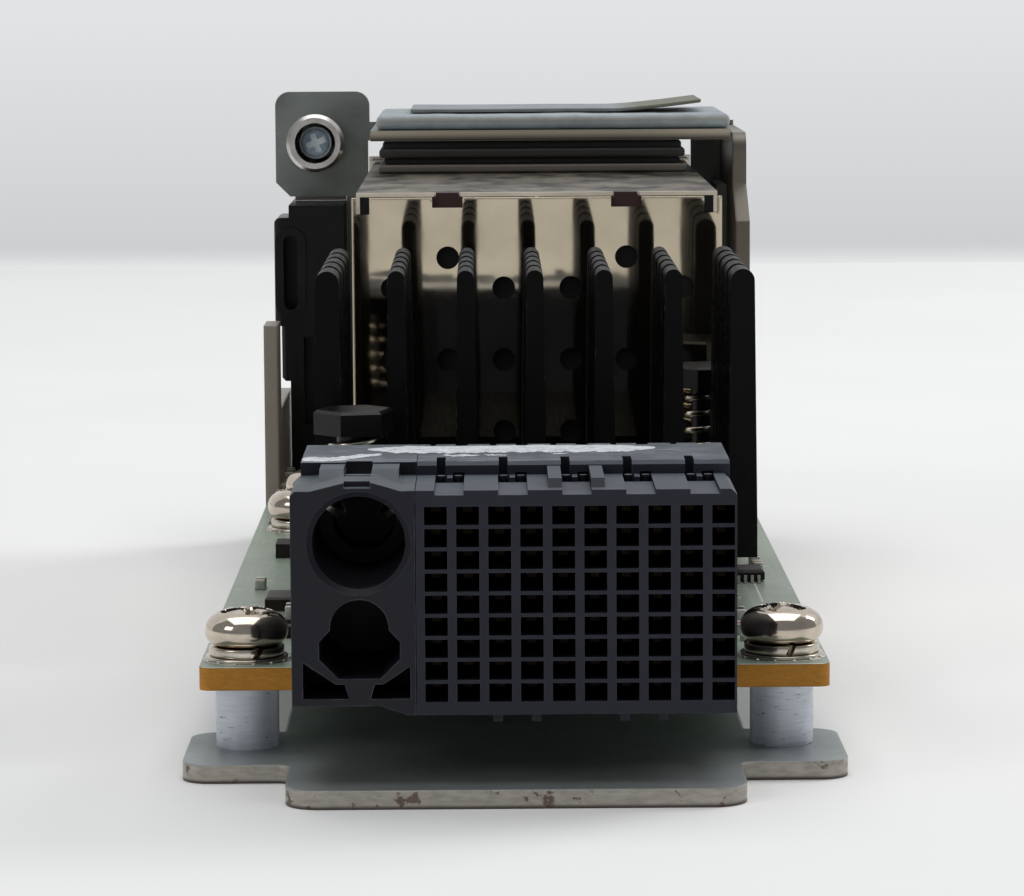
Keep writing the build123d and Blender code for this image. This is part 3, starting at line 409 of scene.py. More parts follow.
@dataclass(frozen=True)
class BoardLaminate(Finish):
    """Green solder mask over glass cloth, with bare amber edges."""

    top: float = 7.0
    bottom: float = 5.5
    near: float = 10.3
    link_x: float = 18.0
    link_y: Tuple[float, float] = (36.6, 45.4)
    edge: Tone = (190, 130, 36)
    edge_mask_and_shade: Tone = (58, 66, 50)
    via: Tone = (178, 184, 162)
    link: Tone = (196, 200, 186)
    rim: Tone = (208, 210, 198)

    def dress(self, s: Shader) -> None:
        """Build a glossy mask with buried tracks and vias, a painted highlight along its near edge, and an
        amber sawn edge darkened near its faces by the mask layer and painted shade.
        """
        weave = s.noise(0.35, 3.0, 0.6)
        self.mottle(s, s.noise(5.0, 3.0), 1.14, 0.7, 0.3)
        bricks = {"Vector": s.place, "Scale": 0.42, "Mortar Size": 0.06, "Mortar": (0, 0, 0, 1),
                  "Color1": (1, 1, 1, 1), "Color2": (0.8, 0.8, 0.8, 1)}
        block = s.put("ShaderNodeTexBrick", bricks).outputs["Fac"]
        s.tint(s.span(block, 0.2, 0.8, 0.0, 0.35), shade(self.tone, 1.28))
        s.tint(s.span(s.cells(1.7).outputs["Distance"], 0.14, 0.2, 0.55, 0.0), self.via)
        start, end = self.link_y
        on_link = s.times(s.span(s.off("X", self.link_x), 0.09, 0.05), s.ramp("Y", start, start + 0.2),
                          s.ramp("Y", end, end - 0.2))
        s.tint(on_link, self.link)
        # Painted highlight: a whitish line along the board's near edge, broken by the weave.
        near_edge_highlight = s.times(s.ramp("Y", self.near + 0.3, self.near + 0.2), s.span(weave, 0.35, 0.5, 0.5, 1.0))
        s.tint(near_edge_highlight, self.rim)
        saw = s.noise(0.6, 4.0, 0.65, s.stretched(1.0, 1.0, 3.0))
        bare = s.blend(s.span(saw, 0.3, 0.7), shade(self.edge, 0.86), self.edge)
        half = (self.top - self.bottom) / 2
        # The sawn edge darkens near both faces: partly the green mask layer, partly painted shade.
        mask_and_shade_share = s.span(s.off("Z", self.bottom + half), half - 0.1, half, 0.0, 0.4)
        side = s.upright()
        s.tint(side, s.blend(mask_and_shade_share, bare, self.edge_mask_and_shade))
        s.feed("Roughness", s.span(side, 0.0, 1.0, self.rough, 0.75))
        s.set(IOR=1.5)
        s.relief(weave, 0.01, 0.4)


@dataclass(frozen=True)
class MouldedPlastic(Finish):
    """Fine-grained moulded plastic with rubbed pale edges."""

    rubbed: Tone = (112, 118, 134)
    wear: float = 0.5

    def dress(self, s: Shader) -> None:
        """Build a satin moulding with soft mottling and wear on its corners."""
        cloud = s.noise(4.0, 4.0)
        self.mottle(s, cloud, 0.88)
        patch = s.span(s.noise(1.2, 4.0, 0.65), 0.35, 0.65)
        s.tint(s.times(s.edges(0.12), patch, self.wear), self.rubbed)
        self.vary(s, cloud, 0.08, 0.05)
        s.set(IOR=1.5, Specular_IOR_Level=0.28)
        s.relief(s.noise(0.16, 3.0, 0.6), 0.008, 0.4)


@dataclass(frozen=True)
class ScuffedMoulding(MouldedPlastic):
    """Moulded plastic whose up-facing ledges are lightened as painted light, and whose top is rubbed pale in
    short strokes along it.
    """

    roof: float = 20.75
    lit_ledge: Tone = (80, 87, 96)
    scuff: Tone = (128, 134, 142)

    def dress(self, s: Shader) -> None:
        """Build the moulding, paint light on the ledges that face up below its roof, then scuff what faces up
        at its roof.
        """
        super().dress(s)
        # Painted light: what faces up a little below the roof is lightened, in patches.
        up = s.times(s.turned("Z", 0.35, 0.8), s.ramp("Z", self.roof - 2.6, self.roof - 2.4))
        s.tint(s.times(up, s.span(s.noise(2.5, 4.0), 0.3, 0.7, 0.55, 0.9)), self.lit_ledge)
        top = s.times(s.turned("Z", 0.6, 0.9), s.ramp("Z", self.roof - 0.1, self.roof - 0.04))
        stroke = s.noise(0.5, 4.0, 0.7, s.stretched(0.35, 1.6, 1.0))
        patch = s.span(s.noise(5.0, 3.0), 0.42, 0.6, 0.25, 0.9)
        s.tint(s.times(top, s.span(stroke, 0.45, 0.62), patch), self.scuff)


@dataclass(frozen=True)
class PortMoulding(MouldedPlastic):
    """Black port moulding whose retaining pegs show purple-brown."""

    peg_low: float = 32.9
    peg_back: float = 70.4
    peg_x: Tuple[float, float] = (-10.4, 15.0)
    peg: Tone = (66, 44, 45)

    def dress(self, s: Shader) -> None:
        """Build the moulding, then tint what stands above the ports."""
        super().dress(s)
        inner = s.math("SUBTRACT", 1.0, s.beyond("X", *self.peg_x))
        high = s.ramp("Z", self.peg_low, self.peg_low + 0.1)
        s.tint(s.times(high, s.ramp("Y", self.peg_back + 0.2, self.peg_back), inner), self.peg)


@dataclass(frozen=True)
class ConnectorMoulding(MouldedPlastic):
    """The slate moulding of the backplane connector: its holes are painted nearly black a little way in, as
    painted shade.
    """

    step: float = 19.2
    grid_top: float = 19.4
    grid_back: float = 7.8
    lit_ledge: Tone = (80, 87, 96)
    deep: Tone = (7, 7, 11)

    def dress(self, s: Shader) -> None:
        """Build the moulding, paint light on what faces up above its step, then paint shade on what lies behind
        its mating face.
        """
        super().dress(s)
        # Painted light: what faces up above the step is lightened.
        s.tint(s.times(s.turned("Z", 0.6, 0.9), s.ramp("Z", self.step - 0.2, self.step), 0.75), self.lit_ledge)
        # Painted shade: inside the holes, just behind the mating face, the colour goes nearly black.
        below = s.ramp("Z", self.grid_top + 0.2, self.grid_top)
        before = s.ramp("Y", self.grid_back + 0.2, self.grid_back)
        s.tint(s.times(s.ramp("Y", 0.2, 1.4), below, before), self.deep)


@dataclass(frozen=True)
class BlackAnodised(Finish):
    """Black anodised aluminium with a satin sheen and a few pale nicks."""

    bloom: Tone = (13, 13, 14)
    nick: Tone = (120, 122, 126)

    def dress(self, s: Shader) -> None:
        """Build a near-black satin skin with fine draw lines and nicked edges."""
        draw = s.noise(0.3, 3.0, 0.6, s.stretched(1.0, 0.06, 1.0))
        s.tint(s.span(s.noise(3.5, 3.0), 0.3, 0.7), self.bloom)
        s.tint(s.times(s.edges(0.12), s.span(s.noise(0.9, 3.0), 0.6, 0.66), 0.5), self.nick)
        self.vary(s, draw, 0.1, 0.06)
        s.set(IOR=1.5, Specular_IOR_Level=0.1)
        s.relief(draw, 0.01, 0.5)


@dataclass(frozen=True)
class GlossMoulding(Finish):
    """Glossy moulded black plastic with soft sink marks."""

    dust: Tone = (92, 92, 94)

    def dress(self, s: Shader) -> None:
        """Build a shiny skin over slow waves with faint dust, dull on the side towards the cage."""
        wave = s.noise(5.0, 2.0)
        s.tint(s.span(s.noise(0.25, 4.0, 0.7), 0.62, 0.75, 0.0, 0.25), self.dust)
        gloss = s.span(wave, 0.3, 0.7, self.rough, self.rough + 0.12)
        s.feed("Roughness", s.math("MAXIMUM", s.turned("X", 0.5, 0.9, 0.85), gloss))
        s.set(IOR=1.5, Specular_IOR_Level=0.22)
        s.relief(wave, 0.2, 0.3)


@dataclass(frozen=True)
class CageNickel(Finish):
    """Thin nickel-silver sheet, bright but slightly wavy, warm in tone."""

    wave: float = 0.5
    front: float = 68.35
    # The top's tones are stains and painted reflection of the dark parts above it.
    dull: Tone = (130, 124, 111)
    stain: Tone = (50, 45, 40)
    smear_and_reflection: Tone = (40, 36, 32)

    def dress(self, s: Shader) -> None:
        """Build a reflective sheet whose surface rolls slowly, with its top painted dark as a painted
        reflection of what lies above it, stained in places.
        """
        stain = s.noise(3.6, 5.0, 0.62, s.stretched(1.0, 0.6, 1.0))
        top = s.turned("Z", 0.6, 0.9)
        self.mottle(s, s.noise(6.0, 3.0), 0.9, 0.7, 0.3)
        # Painted reflection with stains: the top turns dark and blotched past its front line.
        dull = s.blend(s.span(stain, 0.4, 0.6), self.dull, self.stain)
        dull = s.blend(s.span(s.noise(4.0, 3.0), 0.52, 0.66, 0.0, 0.5), dull, self.smear_and_reflection)
        s.tint(s.times(top, s.ramp("Y", self.front + 0.35, self.front + 0.9)), dull)
        s.set(Metallic=1.0)
        polish = s.span(stain, 0.3, 0.7, self.rough, self.rough + 0.08)
        s.feed("Roughness", s.math("ADD", polish, s.times(top, 0.3)))
        s.relief(s.noise(9.0, 1.5, 0.4), self.wave, 0.25)


@dataclass(frozen=True)
class CoverNickel(Finish):
    """The polished rear cover, which leans out a little at its top and is rounded at its folds."""

    wave: float = 0.1
    lean: float = 0.0248
    flat_x: Tuple[float, float] = (-11.9, 16.5)
    flat_z: Tuple[float, float] = (7.4, 34.1)

    def dress(self, s: Shader) -> None:
        """Build a mirror whose surface rises with height by the lean, over bevelled folds."""
        haze = s.noise(3.5, 4.0)
        self.mottle(s, haze, 0.93, 0.7, 0.35)
        self.vary(s, haze, 0.03)
        s.set(Metallic=1.0)
        border = s.math("MAXIMUM", s.beyond("X", *self.flat_x), s.beyond("Z", *self.flat_z))
        folded = s.lean_to(border, s.geometry("Normal"), s.bevel(0.25))
        tilted = s.bump(s.times(s.axis("Z"), self.lean), 1.0, 1.0, folded)
        s.relief(s.noise(8.0, 1.5, 0.4), self.wave, 0.2, tilted)


@dataclass(frozen=True)
class SoftGasket(Finish):
    """Conductive foam or cloth gasket: matt, slightly crumpled, with thin layers."""

    layer: float = 0.7
    layer_tone: Tone = (60, 58, 54)

    def dress(self, s: Shader) -> None:
        """Build a matt skin with a woven grain and faint layers up its side."""
        crumple, thread = s.noise(1.8, 4.0, 0.6), s.noise(0.22, 3.0, 0.7)
        wave = s.math("SINE", s.times(s.axis("Z"), FULL_TURN / self.layer))
        self.mottle(s, crumple, 0.86)
        s.tint(s.times(s.span(wave, 0.1, 0.8), s.upright(), 0.6), self.layer_tone)
        self.vary(s, thread, 0.15)
        s.set(Sheen_Weight=0.15)
        s.relief(crumple, 0.15, 0.4, s.bump(thread, 0.03, 0.5))


@dataclass(frozen=True)
class LayeredFoam(SoftGasket):
    """Dark foam in layers, the lowest one greyer."""

    grey_top: float = 35.5
    band_z: Tuple[float, float] = (36.15, 36.9)
    grey: Tone = (106, 99, 92)
    band: Tone = (58, 52, 46)

    def dress(self, s: Shader) -> None:
        """Build the foam, then lighten the lowest layer and a band in the middle."""
        super().dress(s)
        s.tint(s.ramp("Z", self.grey_top + 0.05, self.grey_top, 0.9), self.grey)
        low, high = self.band_z
        s.tint(s.times(s.ramp("Z", low, low + 0.05), s.ramp("Z", high, high - 0.05, 0.6)), self.band)


@dataclass(frozen=True)
class PeelingSheet(SoftGasket):
    """A pale sheet whose peeled right end is tinted olive, for its backing and for painted shade under the
    lifted flap.
    """

    peel_x: float = 9.4
    backing_and_shade: Tone = (112, 113, 98)

    def dress(self, s: Shader) -> None:
        """Build the sheet, then turn it olive where it lifts, as backing and painted shade."""
        super().dress(s)
        # Painted shade with the backing: the lifted end is coloured olive.
        s.tint(s.ramp("X", self.peel_x, self.peel_x + 2.5), self.backing_and_shade)


@dataclass(frozen=True)
class CrumpledFilm(Finish):
    """Milky torn film, whiter along its creases and clearer where it lies flat."""

    roof: float = 20.75
    thin: Tone = (96, 102, 110)
    clear: Tone = (60, 64, 72)

    def dress(self, s: Shader) -> None:
        """Build a pale satin film with fine creases and grey thin places."""
        crease = s.noise(0.35, 4.0, 0.7, s.stretched(0.7, 1.4, 1.0))
        self.mottle(s, crease, 0.8, 0.35, 0.6)
        s.tint(s.span(s.noise(0.7, 5.0, 0.7), 0.54, 0.66, 0.0, 0.45), self.thin)
        s.tint(s.ramp("Z", self.roof + 0.028, self.roof + 0.016, 0.85), self.clear)
        self.vary(s, crease, 0.2)
        s.set(IOR=1.48)
        s.relief(crease, 0.05, 0.6)


@dataclass(frozen=True)
class ClearMoulding(Finish):
    """Clear moulded light pipe, slightly frosted."""

    def dress(self, s: Shader) -> None:
        """Build a clear body whose frost varies a little along it."""
        frost = s.noise(1.5, 3.0)
        self.mottle(s, frost, 0.93, 0.7, 0.3)
        self.vary(s, frost, 0.15)
        s.set(Transmission_Weight=0.7, IOR=1.49)


@dataclass(frozen=True)
class Plated(Finish):
    """A small tinned, gold-flashed or nickel-plated part."""

    def dress(self, s: Shader) -> None:
        """Build a metal with a cloudy tone and roughness."""
        cloud = s.noise(0.8, 3.0)
        self.mottle(s, cloud, 0.85)
        self.vary(s, cloud, 0.15)
        s.set(Metallic=1.0)


class Look(Enum):
    """The finishes on the card, each with the CAD nodes that it dresses."""

    TRAY = GalvanisedSheet("galvanised_sheet", (150, 157, 158), 0.4), "carrier_tray"
    PLATE = PlatedPlate("passivated_plate", (130, 136, 132), 0.45), "faceplate"
    POST = TurnedZinc("turned_zinc", (206, 212, 220), 0.34), "standoffs", "faceplate_rivets"
    SCREW = BrightNickel("screw_nickel", (214, 202, 186), 0.07), "board_screws", "lock_washers", "flat_washers"
    WASHER = BrightNickel("washer_nickel", (206, 198, 184), 0.14),
    FERRULE = (BrightNickel("ferrule_nickel", (208, 205, 200), 0.27),
               "screw_ferrule", "screw_retainer", "lever_pin")
    CAPTIVE = BluedScrew("captive_zinc", (186, 194, 204), 0.3), "captive_screw"
    SPRING = (BrightNickel("spring_steel", (215, 206, 194), 0.16),
              "pin_spring_near", "pin_spring_far", "screw_spring")
    BOARD = BoardLaminate("board_laminate", (120, 132, 118), 0.36), "circuit_board"
    CONNECTOR = ConnectorMoulding("connector_slate", (35, 37, 47), 0.5, rubbed=(82, 88, 102)), "signal_housing"
    GUIDE = (ScuffedMoulding("guide_slate", (25, 26, 34), 0.5, rubbed=(112, 122, 132), wear=0.8,
                             lit_ledge=(88, 96, 103)), "guide_block", "wafer_pins")
    ROOF = (ScuffedMoulding("organiser_slate", (42, 45, 55), 0.5, rubbed=(104, 110, 122), wear=0.6),
            "wafer_organiser")
    WAFER = (MouldedPlastic("wafer_slate", (30, 31, 38), 0.55, wear=0.2),
             *(f"wafer_{i}" for i in range(1, 11)))
    GOLD = Plated("shaded_contact", (52, 44, 34), 0.4), "contacts"
    BRONZE = Plated("ground_finger", (160, 156, 148), 0.28),
    TIN = Plated("tinned_leads", (206, 206, 198), 0.35), "gull_wing_legs"
    LID = Plated("chip_lid_nickel", (176, 176, 172), 0.35), "chip_lid"
    SINK = BlackAnodised("black_anodised", (7, 7, 8), 0.42), "heat_sink"
    PIN = (MouldedPlastic("pin_black", (14, 14, 15), 0.35, rubbed=(64, 64, 66), wear=0.3),
           "push_pin_near", "push_pin_far")
    LEVER = GlossMoulding("lever_gloss", (10, 10, 11), 0.26), "ejector_lever"
    CHIP = (MouldedPlastic("chip_epoxy", (34, 28, 27), 0.5, rubbed=(80, 74, 74), wear=0.2),
            "chip_body", "dark_chip", "gull_wing_chip")
    CERAMIC = MouldedPlastic("capacitor_ceramic", (128, 104, 82), 0.45, rubbed=(168, 150, 130), wear=0.3),
    BROWN = (MouldedPlastic("brown_block", (38, 25, 21), 0.4, rubbed=(150, 130, 122), wear=0.6),
             "brown_block")
    INNER = (PortMoulding("port_black", (18, 18, 20), 0.5, rubbed=(60, 60, 64), wear=0.2),
             "port_connector_left", "port_connector_right")
    CAGE = (CageNickel("cage_nickel", (222, 210, 192), 0.1), "cage_shell", "cage_floor", "cage_divider",
            "cage_collar", "port_separator_left", "port_separator_right")
    COVER = CoverNickel("cover_nickel", (196, 184, 162), 0.025), "cage_rear_cover"
    FOAM = LayeredFoam("cage_foam", (24, 22, 20), 0.75, layer_tone=(14, 13, 12)), "cage_gasket"
    PAD = (SoftGasket("top_pad", (164, 174, 178), 0.65, layer=2.6, layer_tone=(158, 152, 134)),
           "top_gasket")
    STRIP = PeelingSheet("peeling_strip", (150, 158, 162), 0.7, layer_tone=(110, 106, 92)), "gasket_strip"
    PASTE = SoftGasket("thermal_pad", (150, 152, 150), 0.8), "thermal_pad"
    CLEAR = ClearMoulding("light_pipe", (235, 238, 240), 0.12), "light_pipe_left", "light_pipe_right"
    FILM = CrumpledFilm("torn_film", (220, 224, 228), 0.4),

    def __init__(self, finish: Finish, *nodes: str) -> None:
        """Keep the finish and the names of its nodes."""
        self.finish, self.nodes = finish, nodes


# The shapes


def rounded_step(value: np.ndarray) -> np.ndarray:
    """Rise smoothly from zero to one as the value does: three squares less two cubes."""
    held = np.clip(value, 0.0, 1.0)
    return held * held * (3 - 2 * held)


def angles(count: int) -> np.ndarray:
    """Give a count of even angles once round."""
    return np.linspace(0, FULL_TURN, count, endpoint=False)


def about_z(radius: object, angle: object, height: object) -> np.ndarray:
    """Give the points at a radius, an angle and a height about the Z axis."""
    return np.stack(np.broadcast_arrays(radius * np.cos(angle), radius * np.sin(angle), height), -1)


def ripple(place: np.ndarray, seed: int, size: float, octaves: int = 5) -> np.ndarray:
    """Give a ragged line between minus one and one along a place in millimetres.

    The formula is a sum of sines. Each has 1.9 times the turns of the last and 0.62 of its
    height, and starts at its own seeded angle.

    Args:
        place: Where to read the line.
        seed: The seed of its angles.
        size: The length of its longest wave in millimetres.
        octaves: How many sines it sums.

    Returns:
        The line's height at each place.
    """
    order = np.arange(octaves)
    start = np.random.default_rng(seed).uniform(0, FULL_TURN, octaves)
    waves = np.sin(FULL_TURN * place[..., None] * 1.9**order / size + start) * 0.62**order
    return waves.sum(-1) / (0.62**order).sum()


def rounded_outline(wide: float, high: float, bend: float, arc: int = 5, run: int = 2) -> np.ndarray:
    """Give the outline of a rounded rectangle round the middle, as points in a plane.

    Each corner is a quarter circle about the inner rectangle's corner, and the runs between
    corners are divided evenly.

    Args:
        wide: Half the width.
        high: Half the height.
        bend: The corners' radius.
        arc: Points on each corner.
        run: Divisions of each run.

    Returns:
        The points, one row each.
    """
    turn = np.linspace(0, math.pi / 2, arc)
    corners = []
    for i, (sx, sy) in enumerate(((1, 1), (-1, 1), (-1, -1), (1, -1))):
        angle = turn + i * math.pi / 2
        middle = np.array([sx * (wide - bend), sy * (high - bend)])
        corners.append(middle + bend * np.stack([np.cos(angle), np.sin(angle)], -1))
    parts = []
    for here, after in zip(corners, corners[1:] + corners[:1]):
        share = np.linspace(0, 1, run + 1)[1:-1, None]
        parts.extend((here, here[-1] * (1 - share) + after[0] * share))
    return np.concatenate(parts)


def soft_bar(low: Sequence[float], high: Sequence[float], bend: float, runs: Tuple[int, int] = (2, 2),
             arc: int = 5) -> np.ndarray:
    """Give the rings of a bar along X with all its edges rounded.

    A ring is the rounded outline drawn in by the bend's radius less the bend times the sine of
    an angle that opens from nought to a right angle, while the ring moves on by the radius less
    its cosine part.

    Args:
        low: The lowest corner in millimetres.
        high: The highest corner.
        bend: The radius of the edges.
        runs: Divisions along the bar and along the runs of its outline.
        arc: Points on each rounding.

    Returns:
        Rings of points, by ring and by place round it.
    """
    near, far = np.array(low, float), np.array(high, float)
    half, middle = (far - near) / 2, (far + near) / 2
    turn = np.linspace(0.0, math.pi / 2, arc)
    in_x, in_yz = bend * (1 - np.cos(turn)), bend * (1 - np.sin(turn))
    between = np.linspace(near[0] + bend, far[0] - bend, runs[0] + 1)[1:-1]
    ahead = np.concatenate([near[0] + in_x, between, far[0] - in_x[::-1]])
    drawn = np.concatenate([in_yz, np.zeros(runs[0] - 1), in_yz[::-1]])
    outline = rounded_outline(half[1], half[2], min(bend, *(half[1:] * 0.98)), arc, runs[1])
    shrink = (half[1:] - drawn[:, None]) / half[1:]
    flat = outline[None] * shrink[:, None, :] + middle[1:]
    return np.concatenate([np.broadcast_to(ahead[:, None, None], flat.shape[:2] + (1,)), flat], -1)


@dataclass
class Shell:
    """Closed surfaces gathered into one mesh, with points in millimetres."""

    points: List[np.ndarray] = field(default_factory=list)
    faces: List[np.ndarray] = field(default_factory=list)

    def add(self, points: np.ndarray, faces: Sequence[np.ndarray]) -> None:
        """Add one closed surface with its faces turned outwards.

        The enclosed volume is a sixth of the sum, over triangles, of one corner's dot product
        with the cross product of the other two. Where it is negative, each face is read backwards.

        Args:
            points: The surface's points.
            faces: Arrays of faces, each with one number of corners.
        """
        fans = np.concatenate([f[:, [0, i, i + 1]] for f in faces for i in range(1, f.shape[1] - 1)])
        a, b, c = (points[fans[:, i]] for i in range(3))
        outward = float(np.einsum("ij,ij->", a, np.cross(b, c))) > 0
        start = sum(len(p) for p in self.points)
        self.points.append(points)
        self.faces.extend((f if outward else f[:, ::-1]) + start for f in faces)

    def rings(self, rings: np.ndarray, looped: bool = False) -> None:
        """Join rings of points round and from ring to ring.

        Args:
            rings: Points by ring and by place round the ring.
            looped: Whether the last ring joins the first. Otherwise a fan closes each end.
        """
        rows, columns = rings.shape[:2]
        i, j = np.meshgrid(np.arange(rows if looped else rows - 1), np.arange(columns), indexing="ij")
        on, beside = (i + 1) % rows * columns, (j + 1) % columns
        quads = np.stack([i * columns + j, i * columns + beside, on + beside, on + j], -1).reshape(-1, 4)
        points = rings.reshape(-1, 3)
        if looped:
            self.add(points, [quads])
            return
        first, top = np.arange(columns), (rows - 1) * columns
        after = (first + 1) % columns
        near = np.stack([np.full(columns, rows * columns), after, first], -1)
        far = np.stack([np.full(columns, rows * columns + 1), top + first, top + after], -1)
        middles = rings[[0, -1]].mean(1)
        self.add(np.concatenate([points, middles]), [quads, near, far])

    def piece(self, name: str, look: Look, slot: str, replaces: Sequence[str] = (), body: str = "card",
              sharp: float = 35.0) -> bpy.types.Object:
        """Make the mesh and give it its finish and body.

        Args:
            name: The piece's name.
            look: Its finish.
            slot: The record's slot that the finish comes from; not used.
            replaces: The CAD nodes that it stands for.
            body: The CAD body that it moves with.
            sharp: The angle in degrees past which an edge stays crisp.

        Returns:
            The new object.
        """
        mesh = bpy.data.meshes.new(name)
        faces = [face for part in self.faces for face in part.tolist()]
        mesh.from_pydata((np.concatenate(self.points) * MM).tolist(), [], faces)
        mesh.polygons.foreach_set("use_smooth", np.ones(len(faces), bool))
        mesh.set_sharp_from_angle(angle=math.radians(sharp))
        mesh.materials.append(look.finish.material())
        obj = add_object(name, mesh)
        if replaces:
            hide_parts(*replaces)
        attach(obj, body)
        LOG.info("made %s with %d faces", name, len(faces))
        return obj


@dataclass
class BoardFastening:
    """The board's five screws, their split and flat washers, and the tinned lands under them."""

    spots: Tuple[Tuple[float, float], ...] = (
        (-17.7, 14.0), (17.7, 14.0), (-16.9, 76.5), (16.0, 64.4), (-16.1, 90.0))
    board_top: float = 7.0
    board_reach: float = 20.45
    head_low: float = 7.95
    head_radius: float = 2.75
    head_height: float = 2.45
    widest: float = 0.92
    fullness: float = 2.5
    seat_radius: float = 1.85
    shank_radius: float = 1.45
    shank_length: float = 5.0
    chamfer: float = 0.3
    recess_reach: float = 1.6
    recess_half: float = 0.4
    flat_high: float = 7.3
    lock_radius: float = 2.5
    lock_gap: float = 0.45
    lock_slant: float = 0.53
    land_inner: float = 1.6
    land_outer: float = 2.92
    dots: int = 14
    dot_ring: float = 2.78
    dot_radius: float = 0.15

    def build(self) -> List[bpy.types.Object]:
        """Make the screws, the washers and the lands."""
        return [self.screws(), self.lock_washers(), self.flat_washers(), self.lands()]

    def head_rings(self) -> np.ndarray:
        """Give one screw's rings about its own axis, from its shank's end to the middle of its head.

        Above its widest ring the head is a superellipse: the radius over the widest radius and
        the height over the crown's own height, each raised to the fullness, add up to one. Below
        it the side turns in by a quarter ellipse to the seat. Inside the recess each point sinks
        by the deepest of two crossed arms and a middle cone, whose walls are rounded steps.

        Returns:
            Rings of points with the head's underside at height nought.
        """
        n, a, mid, top = self.fullness, self.head_radius, self.widest, self.head_height
        seat, shank, end = self.seat_radius, self.shank_radius, -self.shank_length
        swing = a * np.cos(np.linspace(0, 0.5 * math.pi, 22)) ** (2 / n)
        low_r = np.maximum(swing[swing > seat][::-1], seat)
        low_z = mid - mid * (1 - ((low_r - seat) / (a - seat)) ** 2) ** 0.5
        high_r = np.concatenate([swing[swing > 1.9][1:], np.linspace(1.85, 0.04, 32)])
        high_z = mid + (top - mid) * (1 - (high_r / a) ** n) ** (1 / n)
        radius = np.concatenate([[shank - 0.25, shank, shank, seat], low_r, high_r])[:, None]
        height = np.concatenate([[end, self.chamfer + end, 0.0, 0.0], low_z, high_z])[:, None]
        rings = about_z(radius, angles(96), height)
        sunk = np.where(height > mid, self.recess(rings[..., 0], rings[..., 1]), 0.0)
        return np.concatenate([rings[..., :2], (height - sunk)[..., None]], -1)

    def recess(self, x: np.ndarray, y: np.ndarray) -> np.ndarray:
        """Give how deep the cross recess is at each place on the head's top."""
        deepest = 1.25 * rounded_step((0.66 - np.hypot(x, y)) / 0.24 + 0.5)
        for along, across in ((np.abs(x), np.abs(y)), (np.abs(y), np.abs(x))):
            wall = rounded_step((self.recess_half - across) / 0.14 + 0.5)
            tip = rounded_step((self.recess_reach - along) / 0.22 + 0.5)
            deepest = np.maximum(deepest, (0.55 + 0.7 * (1 - along / self.recess_reach)) * wall * tip)
        return deepest

    def screws(self) -> bpy.types.Object:
        """Set one screw at each spot, each turned as it was driven."""
        shell, rings = Shell(), self.head_rings()
        for number, (x, y) in enumerate(self.spots):
            angle = math.radians(20 + 35 * number)
            cos, sin = math.cos(angle), math.sin(angle)
            turned = rings @ np.array([[cos, sin, 0], [-sin, cos, 0], [0, 0, 1]])
            shell.rings(turned + np.array([x, y, self.head_low]))
        return shell.piece("pan_head_screws", Look.SCREW, "nickel", ["board_screws"])

    def lock_washers(self) -> bpy.types.Object:
        """Bend a rounded square wire once round each shank, with a slanted gap.

        The wire's rings stand at even angles from one side of the gap to the other, and the
        angle shifts with height by the slant over the radius.
        """
        shell, inner = Shell(), self.shank_radius + 0.1
        half, high = (self.lock_radius - inner) / 2, (self.head_low - self.flat_high) / 2
        outline = rounded_outline(half, high - 0.01, 0.12, 4)
        gap = self.lock_gap / self.lock_radius / 2
        for number, (x, y) in enumerate(self.spots):
            start = math.radians(-70 - 10 * number)
            angle = np.linspace(start + gap, start + FULL_TURN - gap, 72)[:, None]
            angle = angle + outline[:, 1] * self.lock_slant / self.lock_radius
            rings = about_z(inner + half + outline[:, 0], angle, self.flat_high + high + outline[:, 1])
            shell.rings(rings + np.array([x, y, 0.0]))
        return shell.piece("split_washers", Look.WASHER, "nickel", ["lock_washers"])

    def washer_rings(self, inner: float, outer: float, low: float, high: float, bend: float) -> np.ndarray:
        """Carry a rounded oblong once round an axis and give its rings."""
        outline = rounded_outline((outer - inner) / 2, (high - low) / 2, bend, 4)
        radius, height = (inner + outer) / 2 + outline[:, 0], (low + high) / 2 + outline[:, 1]
        return about_z(radius, angles(72)[:, None], height)

    def flat_washers(self) -> bpy.types.Object:
        """Lay a stamped flat washer under each split washer."""
        shell, inner = Shell(), self.shank_radius + 0.1
        rings = self.washer_rings(inner, self.head_radius, self.board_top, self.flat_high, 0.11)
        for x, y in self.spots:
            shell.rings(rings + np.array([x, y, 0.0]), looped=True)
        return shell.piece("stamped_washers", Look.WASHER, "nickel", ["flat_washers"])

    def lands(self) -> bpy.types.Object:
        """Tin a ring of copper under each washer, with a row of solder dots round its rim.

        A dot is a low dome: its rings shrink with the cosine of an angle and rise with its sine.
        """
        shell, top = Shell(), self.board_top + 0.04
        rings = self.washer_rings(self.land_inner, self.land_outer, self.board_top - 0.03, top, 0.03)
        lift = np.linspace(-0.3, 0.49 * math.pi, 5)[:, None]
        dome = about_z(np.cos(lift), angles(12), np.sin(lift) * 0.7) * self.dot_radius
        for x, y in self.spots:
            shell.rings(rings + np.array([x, y, 0.0]), looped=True)
            for at in about_z(self.dot_ring, angles(self.dots), top) + np.array([x, y, 0.0]):
                if abs(at[0]) < self.board_reach:
                    shell.rings(dome + at)
        return shell.piece("tinned_lands", Look.TIN, "board")


